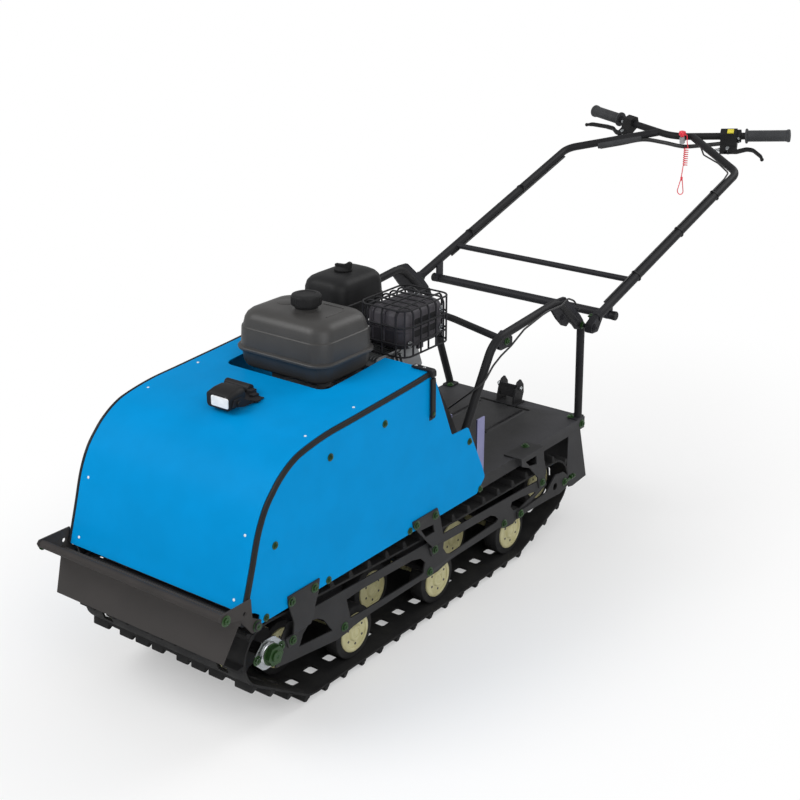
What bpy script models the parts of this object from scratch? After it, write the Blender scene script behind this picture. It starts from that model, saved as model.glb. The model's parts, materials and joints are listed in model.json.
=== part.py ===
"""Tracked snow tow vehicle: a motor sled with a rubber track, an engine under a blue hood and a folding handle.

Lengths are in millimetres and become metres when a mesh is made.
X runs across the machine, -Y is its front, +Z is up, and the ground is at Z = 0.
Y = 0 lies on a lug of the track, under the middle of the body.
"""
import math

import bmesh
import bpy
from mathutils import Matrix, Vector

MM = 0.001
GAP = 0.3

# Track and its wheels
TRACK_HALF_WIDTH = 250.0
LUG_PITCH = 67.5
LUG_HEIGHT = 15.5
LUG_LENGTH = 14.0
BELT_THICKNESS = 5.5
WINDOW_X = 180.0
WINDOW_WIDTH = 30.0
WINDOW_LENGTH = 30.0
TOP_RUN_SAG = 9.0
FRONT_FLAT_Y = -400.0
REAR_FLAT_Y = 474.0
DRIVE_AXLE_Y = -534.0
DRIVE_AXLE_Z = 196.0
DRIVE_TEETH = 7
DRIVE_AXLE_R = 17.5
SPROCKET_WIDTH = 26.0
IDLER_Y = 641.0
IDLER_Z = 155.0
WHEEL_R = 66.5
WHEEL_TYRE_WIDTH = 40.0
WHEEL_DISC_R = 46.5
WHEEL_AXLE_R = 10.0
OUTBOARD_WHEEL_X = 208.0
INBOARD_WHEEL_X = 112.0
FIRST_OUTBOARD_Y = -213.0
FIRST_INBOARD_Y = -371.0
WHEEL_SPACING = (IDLER_Y - 187.0 - FIRST_OUTBOARD_Y) / 2
INBOARD_SPACING = WHEEL_SPACING + 13.0
WHEEL_RUNNING_GAP = 0.5
BELT_CHORD = 2.0

# Body plates and deck
DECK_TOP = 299.0
PLATE = 4.0
DECK_HALF_WIDTH = 232.0
DECK_REAR_Y = 826.0
DECK_STEP_Y = 246.0
FLOOR_FRONT_Y = -572.0
SKIRT_FRONT_Y = 250.0
SKIRT_DEPTH = 33.0
SIDE_PLATE_X = 248.5
BRACKET_X = 274.3
BRACKET_NECK_X = 252.5
BOLT_R = 7.5
BOLT_HEAD = 5.5

# Hood
HOOD_HALF_WIDTH = 262.0
PANEL_X = 270.0
PANEL_THICKNESS = 3.0
SHEET = 3.0
TRIM_DEPTH = 11.5
TRIM_X = 272.0
HOOD_PROFILE = ((-626, 340), (-598, 428), (-576, 499), (-550, 551), (-520, 586), (-495, 608),
                (-462, 628), (-425, 641), (-345, 654), (-247, 660), (-55, 672), (40, 680))
HOOD_PIVOT_Y = -598.0
HOOD_PIVOT_Z = 303.0
HOOD_PIVOT_R = 8.0
HOOD_ARM_X = 246.0
NOTCH_LEFT_X = -184.0
NOTCH_RIGHT_X = 126.0
NOTCH_FRONT_Y = -184.0
NOTCH_CORNER_R = 25.0

# Bumper and front plate
LATCH_Y = 30.0
LATCH_HALF = 8.0
LATCH_PIVOT_X = 276.0
LATCH_PIVOT_Z = 662.0
LATCH_LOW_Z = 572.0
LATCH_PLATE_X = 218.0

BUMPER_NOSE_Y = -694.0
BUMPER_NOSE_Z = 362.0
BUMPER_NOSE_R = 9.0
BUMPER_EAR_X = 275.5
FRONT_PLATE_TOP = (-641.0, 335.0)
FRONT_PLATE_LOW = (-681.0, 240.0)
FRONT_PLATE_TOP_HALF = BUMPER_EAR_X - 3.5
FRONT_PLATE_LOW_HALF = 257.0

# Engine
CRANK_Y = 10.0
CRANK_Z = 520.0
ENGINE_BASE_Z = 400.0
STAND_HALF_WIDTH = 130.0
STAND_FRONT_Y = -110.0
STAND_REAR_Y = 160.0
BLOCK_HALF_WIDTH = 102.0
TANK_LEFT_X = -170.0
TANK_RIGHT_X = 118.0
TANK_FRONT_Y = -178.0
TANK_REAR_Y = 40.0
TANK_BASE_Z = 655.0
TANK_TOP_Z = 803.0
CAP_X = -15.0
CAP_Y = -75.0
CAP_R = 36.5
CAP_TOP_Z = 842.0
CLEANER_X = -116.0
CLEANER_Y = 185.0
CLEANER_HALF_X = 70.0
CLEANER_HALF_Y = 95.0
CLEANER_BASE_Z = 690.0
CLEANER_JOINT_Z = CLEANER_BASE_Z + 54.0
CLEANER_TOP_Z = CLEANER_JOINT_Z + 73.0
MUFFLER_X = 80.0
MUFFLER_Y = 182.0
MUFFLER_HALF_X = 62.0
MUFFLER_HALF_Y = 84.0
MUFFLER_LOW_Z = 676.0
MUFFLER_TOP_Z = 774.0
CAGE_GAP = 7.0
CAGE_WIRE = 5.0
RECOIL_R = 92.0
JACKSHAFT_Y = -250.0
JACKSHAFT_Z = 428.0
JACKSHAFT_R = 12.0
DRIVER_PULLEY_R = 70.0
DRIVEN_PULLEY_R = 90.0
BELT_DRIVER_R = 48.0
BELT_DRIVEN_R = 76.0
PULLEY_X = 190.0
GUARD_IN_X = 158.0
GUARD_OUT_X = 219.0
BELT_SEAT = 1.6
BELT_WIDTH = 20.0
V_BELT_THICKNESS = 11.0

# Handle
COLUMN_X = 298.0
COLUMN_R = 12.0
COLUMN_LOW = (745.0, 626.3)
COLUMN_HIGH = (1566.0, 869.8)
COLUMN_BEND_R = 60.0
FOLD_Y = 722.0
FOLD_Z = 606.0
FOLD_PIN_R = 6.0
CROSSBAR_HIGH_Y = 938.0
CROSSBAR_HIGH_R = 8.2
CROSSBAR_LOW_Y = 838.0
CROSSBAR_LOW_DROP = 46.0
CROSSBAR_LOW_R = 12.0
CROSSBAR_LOW_HALF = 307.6
BAR_R = 11.0
BAR_CENTRE_Y = 1720.0
BAR_CENTRE_Z = 919.0
BAR_SWEEP = 0.30
BAR_RISE = 0.081
BAR_HALF = 342.0
BAR_JOIN_X = 62.0
CONTROL_TILT = {1: 35.0, -1: 20.0}
PERCH_SPAN = {1: (153.0, 204.0), -1: (172.0, 206.0)}
LEVER_R = 4.8
LEVER_PIVOT = {1: (178.0, 46.0), -1: (188.0, 45.0)}
LEVER_PATH = {1: ((176, 46), (204, 51), (236, 40), (256, 44), (284, 72), (288, 84)),
              -1: ((188, 45), (217, 47), (244, 34), (274, 36), (330, 48), (346, 60))}
BUTTON_WIDTH = 20.0
KILL_D = 34.0
KILL_AHEAD = 24.0
KILL_TOP = 3.0
GRIP_R = 17.5
GRIP_INNER_X = 236.0
GRIP_END_X = 346.0
POST_R = 11.0
FRONT_POST_FOOT = (236.0, 135.0)
FRONT_POST_BEND = (255.0, 312.0, 672.0)
HUMP_TOP = (256.0, 608.0, 698.0)
HUMP_END = (258.0, 702.0, 618.0)
REAR_POST_FOOT = (DECK_HALF_WIDTH - POST_R, 806.0)
REAR_POST_TOP = (257.0, 735.0, 604.0)
BOW_MIDDLE = (0.0, 400.0, 678.0)

HITCH_Y = 792.0
HITCH_PIN_R = 6.0

# Lanyard
LANYARD_CORD_R = 1.5
LANYARD_COIL_R = 6.5
LANYARD_CURLS = 8
LANYARD_COIL_LENGTH = 58.0
LANYARD_LOOP_HALF = 10.0


def bore_r(shaft, sides):
    """Radius of a bore whose flats clear a turning shaft."""
    return (shaft + GAP) / math.cos(math.pi / sides)


def unit(v):
    """Gives v at length one."""
    return Vector(v).normalized()


def fillet(points, radius, steps=4, closed=False):
    """Rounds the corners of a path or outline with arcs of the given radius."""
    pts = [Vector(p) for p in points]
    count = len(pts)
    out = []
    for i, here in enumerate(pts):
        if not closed and i in (0, count - 1):
            out.append(here)
            continue
        before, after = pts[i - 1], pts[(i + 1) % count]
        a, b = (before - here), (after - here)
        angle = a.angle(b)
        if angle > math.radians(178):
            out.append(here)
            continue
        reach = min(radius / math.tan(angle / 2), 0.48 * a.length, 0.48 * b.length)
        start, end = here + a.normalized() * reach, here + b.normalized() * reach
        middle = (a.normalized() + b.normalized()).normalized()
        centre = here + middle * (reach / math.cos(angle / 2))
        r = (start - centre).length
        for k in range(steps + 1):
            chord = start.lerp(end, k / steps)
            out.append(centre + (chord - centre).normalized() * r)
    return out


def placed(axis, a, b, along):
    """A point from two coordinates across an axis and one along it."""
    if axis == "X":
        return Vector((along, a, b))
    if axis == "Y":
        return Vector((a, along, b))
    return Vector((a, b, along))


def prism(axis, outline, low, high):
    """A plate or bar: an outline pushed along an axis from low to high."""
    n = len(outline)
    verts = [placed(axis, p[0], p[1], s) for s in (low, high) for p in outline]
    faces = [list(range(n)), list(range(n, 2 * n))]
    faces += [[i, (i + 1) % n, n + (i + 1) % n, n + i] for i in range(n)]
    return verts, faces


def box(x0, x1, y0, y1, z0, z1):
    """A box between six planes."""
    return prism("Z", ((x0, y0), (x1, y0), (x1, y1), (x0, y1)), z0, z1)


def slab(x0, x1, y0, y1, z0, z1, r, steps=3):
    """A box whose upright corners are rounded."""
    return prism("Z", fillet(((x0, y0), (x1, y0), (x1, y1), (x0, y1)), r, steps, True), z0, z1)


def skin(rings):
    """A closed body through rings of points that have equal counts."""
    n = len(rings[0])
    verts = [v for ring in rings for v in ring]
    last = len(verts) - n
    faces = [list(range(n)), list(range(last, last + n))]
    for k in range(len(rings) - 1):
        for i in range(n):
            j = (i + 1) % n
            faces.append([k * n + i, k * n + j, (k + 1) * n + j, (k + 1) * n + i])
    return verts, faces


def lathe(axis, centre, profile, steps=16, turn=0.0):
    """A turned body: profile holds (place along the axis, radius) pairs."""
    rings = []
    for along, r in profile:
        ring = []
        for i in range(steps):
            t = 2 * math.pi * i / steps + turn
            ring.append(placed(axis, centre[0] + r * math.cos(t), centre[1] + r * math.sin(t), along))
        rings.append(ring)
    return skin(rings)


def rod(axis, centre, r, low, high, steps=10):
    """A plain round bar."""
    return lathe(axis, centre, ((low, r), (high, r)), steps)


def tube(points, r, sides=8):
    """A round bar swept along a path without twist."""
    pts = [Vector(p) for p in points]
    rings = []
    side = None
    for i, here in enumerate(pts):
        a = pts[max(i - 1, 0)]
        b = pts[min(i + 1, len(pts) - 1)]
        way = (b - a).normalized()
        if side is None:
            guess = Vector((0, 0, 1)) if abs(way.z) < 0.9 else Vector((1, 0, 0))
            side = way.cross(guess).normalized()
        side = (side - way * side.dot(way)).normalized()
        up = way.cross(side)
        stretch = 1.0
        if 0 < i < len(pts) - 1:
            bend = (here - a).angle(b - here)
            stretch = 1.0 / max(math.cos(bend / 2), 0.6)
        turn_axis = (here - a).cross(b - here) if 0 < i < len(pts) - 1 else Vector((0, 0, 0))
        ring = []
        for k in range(sides):
            t = 2 * math.pi * k / sides
            v = side * math.cos(t) + up * math.sin(t)
            if turn_axis.length > 1e-6:
                out = way.cross(turn_axis).normalized()
                v += out * v.dot(out) * (stretch - 1.0)
            ring.append(here + v * r)
        rings.append(ring)
    return skin(rings)


def mirrored(shape):
    """The same shape on the other side of the machine."""
    verts, faces = shape
    return [Vector((-v[0], v[1], v[2])) for v in verts], faces


def handed(shape, side):
    """A right-hand shape, or its mirror image where side is -1."""
    return shape if side > 0 else mirrored(shape)


def both(shape):
    """A shape and its mirror image in one list."""
    return joined([shape, mirrored(shape)])


def joined(shapes):
    """Shapes that don't touch each other, in one list."""
    verts, faces = [], []
    for v, f in shapes:
        base = len(verts)
        verts += v
        faces += [[i + base for i in face] for face in f]
    return verts, faces


def mesh_of(name, shape):
    """A mesh in metres with its faces outwards."""
    mesh = bpy.data.meshes.new(name)
    mesh.from_pydata([Vector(v) * MM for v in shape[0]], [], shape[1])
    bm = bmesh.new()
    bm.from_mesh(mesh)
    bmesh.ops.recalc_face_normals(bm, faces=bm.faces)
    bmesh.ops.triangulate(bm, faces=[f for f in bm.faces if len(f.verts) > 4])
    bm.to_mesh(mesh)
    bm.free()
    mesh.update()
    return mesh


def material(name, colour, roughness, metallic=0.0):
    """A plain finish of one colour."""
    made = bpy.data.materials.new(name)
    made.use_nodes = True
    shader = made.node_tree.nodes["Principled BSDF"]
    shader.inputs["Base Color"].default_value = (*colour, 1.0)
    shader.inputs["Roughness"].default_value = roughness
    shader.inputs["Metallic"].default_value = metallic
    return made


def tool(owner, count, shape):
    """A hidden shape that a piece is joined to or cut with."""
    made = bpy.data.objects.new(f"{owner}.tool{count}", mesh_of(f"{owner}.tool{count}", shape))
    bpy.context.collection.objects.link(made)
    made.hide_render = True
    made.display_type = "WIRE"
    made.hide_set(True)
    return made


def piece(name, finish, shape, adds=(), cuts=(), origin=None, smooth=30):
    """One part of the machine: a shape, what is welded to it and what is cut from it."""
    made = bpy.data.objects.new(name, mesh_of(name, shape))
    bpy.context.collection.objects.link(made)
    made.data.materials.append(finish)
    steps = [("UNION", s) for s in adds] + [("DIFFERENCE", s) for s in cuts]
    for count, (kind, other) in enumerate(steps):
        modifier = made.modifiers.new(f"{kind.lower()}_{count}", "BOOLEAN")
        modifier.operation = kind
        modifier.object = tool(name, count, other)
    made.data.shade_smooth()
    made.data.set_sharp_from_angle(angle=math.radians(smooth))
    if origin is not None:
        shift = Vector(origin) * MM
        made.data.transform(Matrix.Translation(-shift))
        made.location = shift
    return made


def join_last(name, shape):
    """Welds one more shape to a piece after its cuts."""
    made = bpy.data.objects[name]
    modifier = made.modifiers.new("weld_last", "BOOLEAN")
    modifier.operation = "UNION"
    modifier.object = tool(name, 99, shape)


def cord(name, finish, points, r):
    """A round cord along a list of points."""
    curve = bpy.data.curves.new(name, "CURVE")
    curve.dimensions = "3D"
    curve.bevel_depth = r * MM
    curve.bevel_resolution = 1
    curve.use_fill_caps = True
    spline = curve.splines.new("POLY")
    spline.points.add(len(points) - 1)
    for place, p in zip(spline.points, points):
        place.co = (*(Vector(p) * MM), 1.0)
    made = bpy.data.objects.new(name, curve)
    bpy.context.collection.objects.link(made)
    curve.materials.append(finish)


def belt_inner_z(y):
    """Height of the track's inner face on its top run."""
    t = (y - DRIVE_AXLE_Y) / (IDLER_Y - DRIVE_AXLE_Y)
    front = DRIVE_AXLE_Z + drive_inner_radius()
    rear = IDLER_Z + idler_inner_radius()
    return front + (rear - front) * t - TOP_RUN_SAG * math.sin(math.pi * t)


def drive_inner_radius():
    """Radius of the track's inner face round the drive axle."""
    return DRIVE_TEETH * LUG_PITCH / (2 * math.pi) - BELT_THICKNESS / 2


def idler_inner_radius():
    """Radius of the track's inner face round the rear wheels."""
    return WHEEL_R + WHEEL_RUNNING_GAP + BELT_CHORD


def wheel_axle_z():
    """Height of the road wheels' axles."""
    return LUG_HEIGHT + BELT_THICKNESS + WHEEL_RUNNING_GAP + WHEEL_R


def arc(centre, r, start, end, steps):
    """Points on an arc, with angles in degrees from +Y towards +Z."""
    out = []
    for k in range(steps + 1):
        t = math.radians(start + (end - start) * k / steps)
        out.append(Vector((centre[0] + r * math.cos(t), centre[1] + r * math.sin(t))))
    return out


def tangent_angle(centre, r, point):
    """Angle at which a line from a point below touches the underside of a circle."""
    to = Vector(point) - Vector(centre)
    return math.degrees(math.atan2(to[1], to[0])), math.degrees(math.acos(r / to.length))


def track_path():
    """The middle line of the belt, as a closed fine polyline of (y, z) points, front wheel first."""
    half = BELT_THICKNESS / 2
    flat_z = LUG_HEIGHT + half
    front, rear = (DRIVE_AXLE_Y, DRIVE_AXLE_Z), (IDLER_Y, IDLER_Z)
    front_r, rear_r = drive_inner_radius() + half, idler_inner_radius() + half
    base, spread = tangent_angle(front, front_r, (FRONT_FLAT_Y, flat_z))
    leave = base - spread
    base, spread = tangent_angle(rear, rear_r, (REAR_FLAT_Y, flat_z))
    arrive = base + spread
    line = arc(front, front_r, 90, leave + 360, 40)
    low = fillet((line[-1], (FRONT_FLAT_Y, flat_z), (REAR_FLAT_Y, flat_z),
                  arc(rear, rear_r, arrive, arrive, 1)[0]), 68.0, 8)
    line += [p for p in low[1:-1]]
    line += arc(rear, rear_r, arrive, 90, 40)
    for k in range(1, 30):
        y = IDLER_Y + (DRIVE_AXLE_Y - IDLER_Y) * k / 30
        line.append(Vector((y, belt_inner_z(y) + half)))
    return line


def walk(line):
    """Gives a function from distance along a closed line to a point and a direction there."""
    marks = [0.0]
    for i, p in enumerate(line):
        marks.append(marks[-1] + (line[(i + 1) % len(line)] - p).length)

    def at(distance):
        d = distance % marks[-1]
        low = max(i for i in range(len(line)) if marks[i] <= d)
        a, b = line[low], line[(low + 1) % len(line)]
        share = (d - marks[low]) / max(marks[low + 1] - marks[low], 1e-9)
        return a.lerp(b, share), (b - a).normalized()

    return at, marks[-1]


def track():
    """The rubber track: a belt with two rows of windows and cross lugs in two patterns."""
    line = track_path()
    at, length = walk(line)
    count = round(length / LUG_PITCH)
    pitch = length / count
    start = length / 2
    while at(start)[0][0] > 0 or at(start)[0][1] > LUG_HEIGHT + BELT_THICKNESS:
        start -= 0.5
    edge, inner, outer = TRACK_HALF_WIDTH, WINDOW_X - WINDOW_WIDTH / 2, WINDOW_X + WINDOW_WIDTH / 2
    columns = (-edge, -outer, -inner, inner, outer, edge)
    lug = LUG_LENGTH / 2
    stations = (-lug, lug, lug + WINDOW_LENGTH)
    rows = []
    for k in range(count):
        for s in stations:
            rows.append(at(start + k * pitch + s * pitch / LUG_PITCH))
    verts, index = [], {}

    def vert(row, column, depth):
        key = (row % len(rows), column, depth)
        if key not in index:
            p, way = rows[key[0]]
            out = Vector((way[1], -way[0]))
            if out.dot(p - Vector(((FRONT_FLAT_Y + REAR_FLAT_Y) / 2, 2 * LUG_HEIGHT + DECK_TOP / 2))) < 0:
                out = -out
            offsets = {"in": -BELT_THICKNESS / 2, "out": BELT_THICKNESS / 2, "lug": BELT_THICKNESS / 2 + LUG_HEIGHT}
            q = p + out * offsets[depth]
            index[key] = len(verts)
            verts.append(Vector((columns[column], q[0], q[1])))
        return index[key]

    faces = []
    wide = len(columns) - 1
    for k in range(count):
        blocks = (0, 1, 3, 4) if k % 2 else (0, 2, 4)
        for s in range(len(stations)):
            a, b = len(stations) * k + s, len(stations) * k + s + 1
            for c in range(wide):
                if s == 1 and c in (1, 3):
                    continue
                faces.append([vert(a, c, "in"), vert(a, c + 1, "in"), vert(b, c + 1, "in"), vert(b, c, "in")])
                level = "lug" if s == 0 and c in blocks else "out"
                faces.append([vert(a, c, level), vert(a, c + 1, level), vert(b, c + 1, level), vert(b, c, level)])
                if level == "lug":
                    faces.append([vert(a, c, "out"), vert(a, c + 1, "out"), vert(a, c + 1, "lug"), vert(a, c, "lug")])
                    faces.append([vert(b, c, "out"), vert(b, c + 1, "out"), vert(b, c + 1, "lug"), vert(b, c, "lug")])
                    for d in (c, c + 1):
                        faces.append([vert(a, d, "out"), vert(b, d, "out"), vert(b, d, "lug"), vert(a, d, "lug")])
            for d in (0, wide):
                faces.append([vert(a, d, "in"), vert(b, d, "in"), vert(b, d, "out"), vert(a, d, "out")])
            if s == 1:
                for c in (1, 3):
                    for row in (a, b):
                        faces.append([vert(row, c, "in"), vert(row, c + 1, "in"),
                                      vert(row, c + 1, "out"), vert(row, c, "out")])
                    for d in (c, c + 1):
                        faces.append([vert(a, d, "in"), vert(b, d, "in"), vert(b, d, "out"), vert(a, d, "out")])
    return verts, drop_doubled(faces)


def drop_doubled(faces):
    """Leaves out walls that two neighbouring blocks share, and walls listed twice at an edge."""
    seen = {}
    for f in faces:
        seen.setdefault(tuple(sorted(f)), []).append(f)
    return [group[0] for group in seen.values() if len(group) == 1]


def wheel_profile(x):
    """One wheel of a pair, as (x, radius) pairs from its inner side outwards."""
    half = WHEEL_TYRE_WIDTH / 2
    return ((x - half, WHEEL_AXLE_R), (x - half, WHEEL_R), (x + half, WHEEL_R),
            (x + half, WHEEL_DISC_R), (x + half + 7, WHEEL_DISC_R - 3), (x + half + 5, WHEEL_DISC_R / 2))


def wheel_pair(name, finish, x, y, z):
    """Two wheels on one axle."""
    right = wheel_profile(x)
    profile = [(-a, r) for a, r in reversed(right)] + list(right)
    piece(name, finish, lathe("X", (y, z), profile, 12), origin=(0, y, z))


def outboard_ys():
    """Places of the three outer wheel pairs."""
    return [FIRST_OUTBOARD_Y + i * WHEEL_SPACING for i in range(3)]


def inboard_ys():
    """Places of the three inner wheel pairs."""
    return [FIRST_INBOARD_Y + i * INBOARD_SPACING for i in range(3)]


def merge_across(mesh):
    """Joins flat neighbouring faces across the track's width, where no window or lug parts them."""
    bm = bmesh.new()
    bm.from_mesh(mesh)
    seams = []
    for e in bm.edges:
        a, b = (v.co for v in e.verts)
        if abs(a.x - b.x) > 1e-7 or len(e.link_faces) != 2:
            continue
        if e.link_faces[0].normal.angle(e.link_faces[1].normal) < 1e-3:
            seams.append(e)
    bmesh.ops.dissolve_edges(bm, edges=seams, use_verts=True)
    bm.to_mesh(mesh)
    bm.free()


def running_gear(finish):
    """Track, drive axle, rear wheels and the six pairs of road wheels."""
    merge_across(piece("track", finish["rubber"], track()).data)
    z = wheel_axle_z()
    for i, y in enumerate(outboard_ys()):
        wheel_pair(f"outer_wheels_{i + 1}", finish["cream"], OUTBOARD_WHEEL_X, y, z)
    for i, y in enumerate(inboard_ys()):
        wheel_pair(f"inner_wheels_{i + 1}", finish["cream"], INBOARD_WHEEL_X, y, z)
    rear_rows = [(-a, r) for a, r in reversed(idler_profile())] + list(idler_profile())
    piece("rear_wheels", finish["cream"], lathe("X", (IDLER_Y, IDLER_Z), rear_rows, 12),
          origin=(0, IDLER_Y, IDLER_Z))
    drive_axle(finish)
    suspension_frame(finish)


def idler_profile():
    """Half of the rear wheel pair, with its axle out to the tension arms."""
    x, half = WINDOW_X - 5, WHEEL_TYRE_WIDTH / 2
    return ((x - half, WHEEL_AXLE_R), (x - half, WHEEL_R), (x + half, WHEEL_R),
            (x + half, WHEEL_DISC_R), (x + half + 7, WHEEL_DISC_R - 3), (x + half + 9, WHEEL_AXLE_R),
            (SIDE_PLATE_X + 14, WHEEL_AXLE_R))


def sprocket(x):
    """A toothed wheel whose teeth reach the belt's windows."""
    tip, root = drive_inner_radius() - GAP - BELT_CHORD, drive_inner_radius() - 13
    outline = []
    for k in range(DRIVE_TEETH):
        for share, r in ((-0.28, root), (-0.13, tip), (0.13, tip), (0.28, root)):
            t = 2 * math.pi * (k + share) / DRIVE_TEETH
            outline.append((DRIVE_AXLE_Y + r * math.cos(t), DRIVE_AXLE_Z + r * math.sin(t)))
    return prism("X", outline, x - SPROCKET_WIDTH / 2, x + SPROCKET_WIDTH / 2)


def drive_axle(finish):
    """The front axle: a shaft with two toothed wheels and a nut at each end."""
    at = (DRIVE_AXLE_Y, DRIVE_AXLE_Z)
    face = SIDE_PLATE_X + 10
    end = ((face, DRIVE_AXLE_R - 4), (face, DRIVE_AXLE_R), (face + 8, DRIVE_AXLE_R - 2))
    shaft = lathe("X", at, [(-x, r) for x, r in reversed(end)] + list(end), 12)
    piece("drive_axle", finish["cream"], shaft, [sprocket(WINDOW_X - 4), sprocket(-WINDOW_X + 4)], origin=(0, *at))


def bearing(side, finish):
    """Pressed steel flange that holds the drive axle's ball bearing outside the side plate."""
    y, z = DRIVE_AXLE_Y, DRIVE_AXLE_Z
    outline = fillet(((y - 54, z), (y - 18, z + 36), (y + 18, z + 36), (y + 54, z), (y + 18, z - 36),
                      (y - 18, z - 36)), 14, 1, True)
    seat = SIDE_PLATE_X + GAP
    plate = prism("X", outline, seat, seat + SHEET)
    boss = lathe("X", (y, z), ((seat + 1, 28), (seat + 6, 26), (seat + 9, 22)), 12)
    bolts = joined([bolt_head("X", (y + d, z), seat + SHEET) for d in (-39, 39)])
    hole = rod("X", (y, z), bore_r(DRIVE_AXLE_R - 4, 12), seat - 20, seat + 20, 12)
    name = "right" if side > 0 else "left"
    piece(f"axle_bearing_{name}", finish["steel"], handed(plate, side), [handed(boss, side), handed(bolts, side)],
          [handed(hole, side)])


def bolt_head(axis, centre, seat, height=None, r=None):
    """A hexagon head on a plate, sunk a little so that it joins."""
    top = seat + (BOLT_HEAD if height is None else height)
    return rod(axis, centre, BOLT_R if r is None else r, seat - 1.0, top, 6)


def tie_rods():
    """Places of the cross rods, just ahead of each outer wheel and above it."""
    return [(y - 60.0, wheel_axle_z() + 50.0) for y in outboard_ys()]


def suspension_frame(finish):
    """Two inner rails that carry every wheel axle, and three rods out to the side plates."""
    z = wheel_axle_z()
    front, rear = FIRST_INBOARD_Y - 45, outboard_ys()[2] + 46
    rail_outline = fillet(((front, z - 16), (rear, z - 16), (rear, z + 18), (rear - 70, z + 62),
                           (front + 60, z + 62), (front, z + 18)), 12, 1, True)
    rail = prism("X", rail_outline, 80, 88)
    rods = [rod("X", at, 7.0, -SIDE_PLATE_X + PLATE + GAP, SIDE_PLATE_X - PLATE - GAP, 6) for at in tie_rods()]
    hole_r = bore_r(WHEEL_AXLE_R, 6)
    holes = [rod("X", (y, z), hole_r, -120, 120, 6) for y in outboard_ys() + inboard_ys()]
    piece("suspension_frame", finish["black"], rail, [mirrored(rail), *rods], [joined(holes)])


def side_plate_outline():
    """Outline of the plate inside the track's loop, from its lower front point round the top."""
    return ((-511, 146), (-497, 200), (-476, 226), (-468, 240), (-300, 234), (200, 216), (596, 200),
            (604, 172), (575, 166), (470, 132), (440, 120), (400, 122), (372, 134), (150, 134), (96, 124),
            (44, 124), (22, 128), (-170, 128), (-240, 124), (-262, 118), (-300, 116), (-462, 138))


def side_plate_windows():
    """Open places in the side plate: the front triangle, two long slots and the rear slot."""
    rod_z = wheel_axle_z() + 50.0
    return (((-432, 161), (-417, 188), (-391, 208), (-367, 203), (-346, 190), (-316, 148)),
            ((-250, rod_z + 12), (-264, 205), (-207, 207), (-11, 199), (22, 190), (42, 172), (34, 145),
             (20, 143), (-190, 147)),
            ((133, 157), (117, 180), (120, 195), (207, 192), (328, 187), (352, 176), (366, 162), (355, 156),
             (150, 151)),
            ((424, 175), (430, 187), (474, 184), (534, 176), (548, 170), (470, 153), (440, 158)))


def stepped(outline, x_low, x_high, z_low, z_high):
    """An outline in (y, z) as a plate that lies at x_low under z_low and at x_high above z_high."""
    bm = bmesh.new()
    ring = [bm.verts.new((0.0, p[0], p[1])) for p in outline]
    bm.faces.new(ring)
    for z in (z_low, z_high):
        geom = bm.verts[:] + bm.edges[:] + bm.faces[:]
        bmesh.ops.bisect_plane(bm, geom=geom, dist=1e-4, plane_co=(0, 0, z), plane_no=(0, 0, 1))
    bm.verts.index_update()
    shift = []
    for v in bm.verts:
        share = min(max((v.co.z - z_low) / (z_high - z_low), 0.0), 1.0)
        shift.append(x_low + (x_high - x_low) * share)
    front = [Vector((x, v.co.y, v.co.z)) for v, x in zip(bm.verts, shift)]
    back = [Vector((x - PLATE, v.co.y, v.co.z)) for v, x in zip(bm.verts, shift)]
    n = len(front)
    faces = [[v.index for v in f.verts] for f in bm.faces]
    faces += [[i + n for i in f] for f in list(faces)]
    for e in bm.edges:
        if len(e.link_faces) == 1:
            a, b = (v.index for v in e.verts)
            faces.append([a, b, b + n, a + n])
    bm.free()
    return front + back, faces


def front_bracket():
    """Bracket that hangs the side plate's front on the side panel."""
    return ((-470, 178), (-444, 176), (-436, 200), (-408, 240), (-404, 262), (-392, 290), (-386, 321), (-491, 321),
            (-489, 296), (-474, 250), (-480, 205))


def middle_bracket():
    """Middle bracket, wide at the top and tapered to one bolt."""
    return ((64, 180), (90, 180), (92, 210), (78, 250), (66, 296), (56, 321), (-43, 321), (-40, 306), (20, 240),
            (54, 206))


def rear_bracket():
    """Rear bracket, whose top lies on the deck."""
    return ((562, 178), (590, 178), (588, 215), (572, 262), (566, DECK_TOP + GAP + PLATE), (456, DECK_TOP + GAP + PLATE),
            (460, 280), (500, 262), (548, 214))


def side_plate(side, finish):
    """Cut side plate of the undercarriage with its three brackets and their bolts."""
    x = SIDE_PLATE_X
    plate = prism("X", side_plate_outline(), x - PLATE, x)
    windows = joined([prism("X", w, x - 20, x + 20) for w in side_plate_windows()])
    low, high = 204.0, 224.0
    front = stepped(front_bracket(), BRACKET_NECK_X, BRACKET_X, low, high)
    middle = stepped(middle_bracket(), BRACKET_NECK_X, BRACKET_X, low, high)
    rear = stepped(rear_bracket(), BRACKET_NECK_X, BRACKET_NECK_X + 5, low, high)
    flange = box(DECK_HALF_WIDTH - 30, BRACKET_NECK_X + 4, 456, 566, DECK_TOP + GAP, DECK_TOP + GAP + PLATE)
    rod_heads = [bolt_head("X", at, x) for at in tie_rods()]
    neck_heads = [bolt_head("X", at, BRACKET_NECK_X) for at in ((-457, 192), (76, 194), (574, 192))]
    upper_heads = [bolt_head("X", at, BRACKET_X) for at in ((-481, 306), (-404, 306), (-30, 309), (46, 306))]
    deck_head = bolt_head("Z", (DECK_HALF_WIDTH - 14, 536), DECK_TOP + GAP + PLATE)
    window = prism("X", ((-12, 288), (38, 284), (44, 262), (8, 262)), 262, 290)
    rear_window = prism("X", ((478, 288), (530, 288), (534, 262), (500, 268)), 240, 290)
    heads = joined(rod_heads + neck_heads + upper_heads + [deck_head])
    name = "right" if side > 0 else "left"
    adds = [handed(s, side) for s in (front, middle, rear, flange, heads)]
    cuts = [handed(s, side) for s in (windows, window, rear_window)]
    piece(f"side_plate_{name}", finish["black"], handed(plate, side), adds, cuts)


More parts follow.
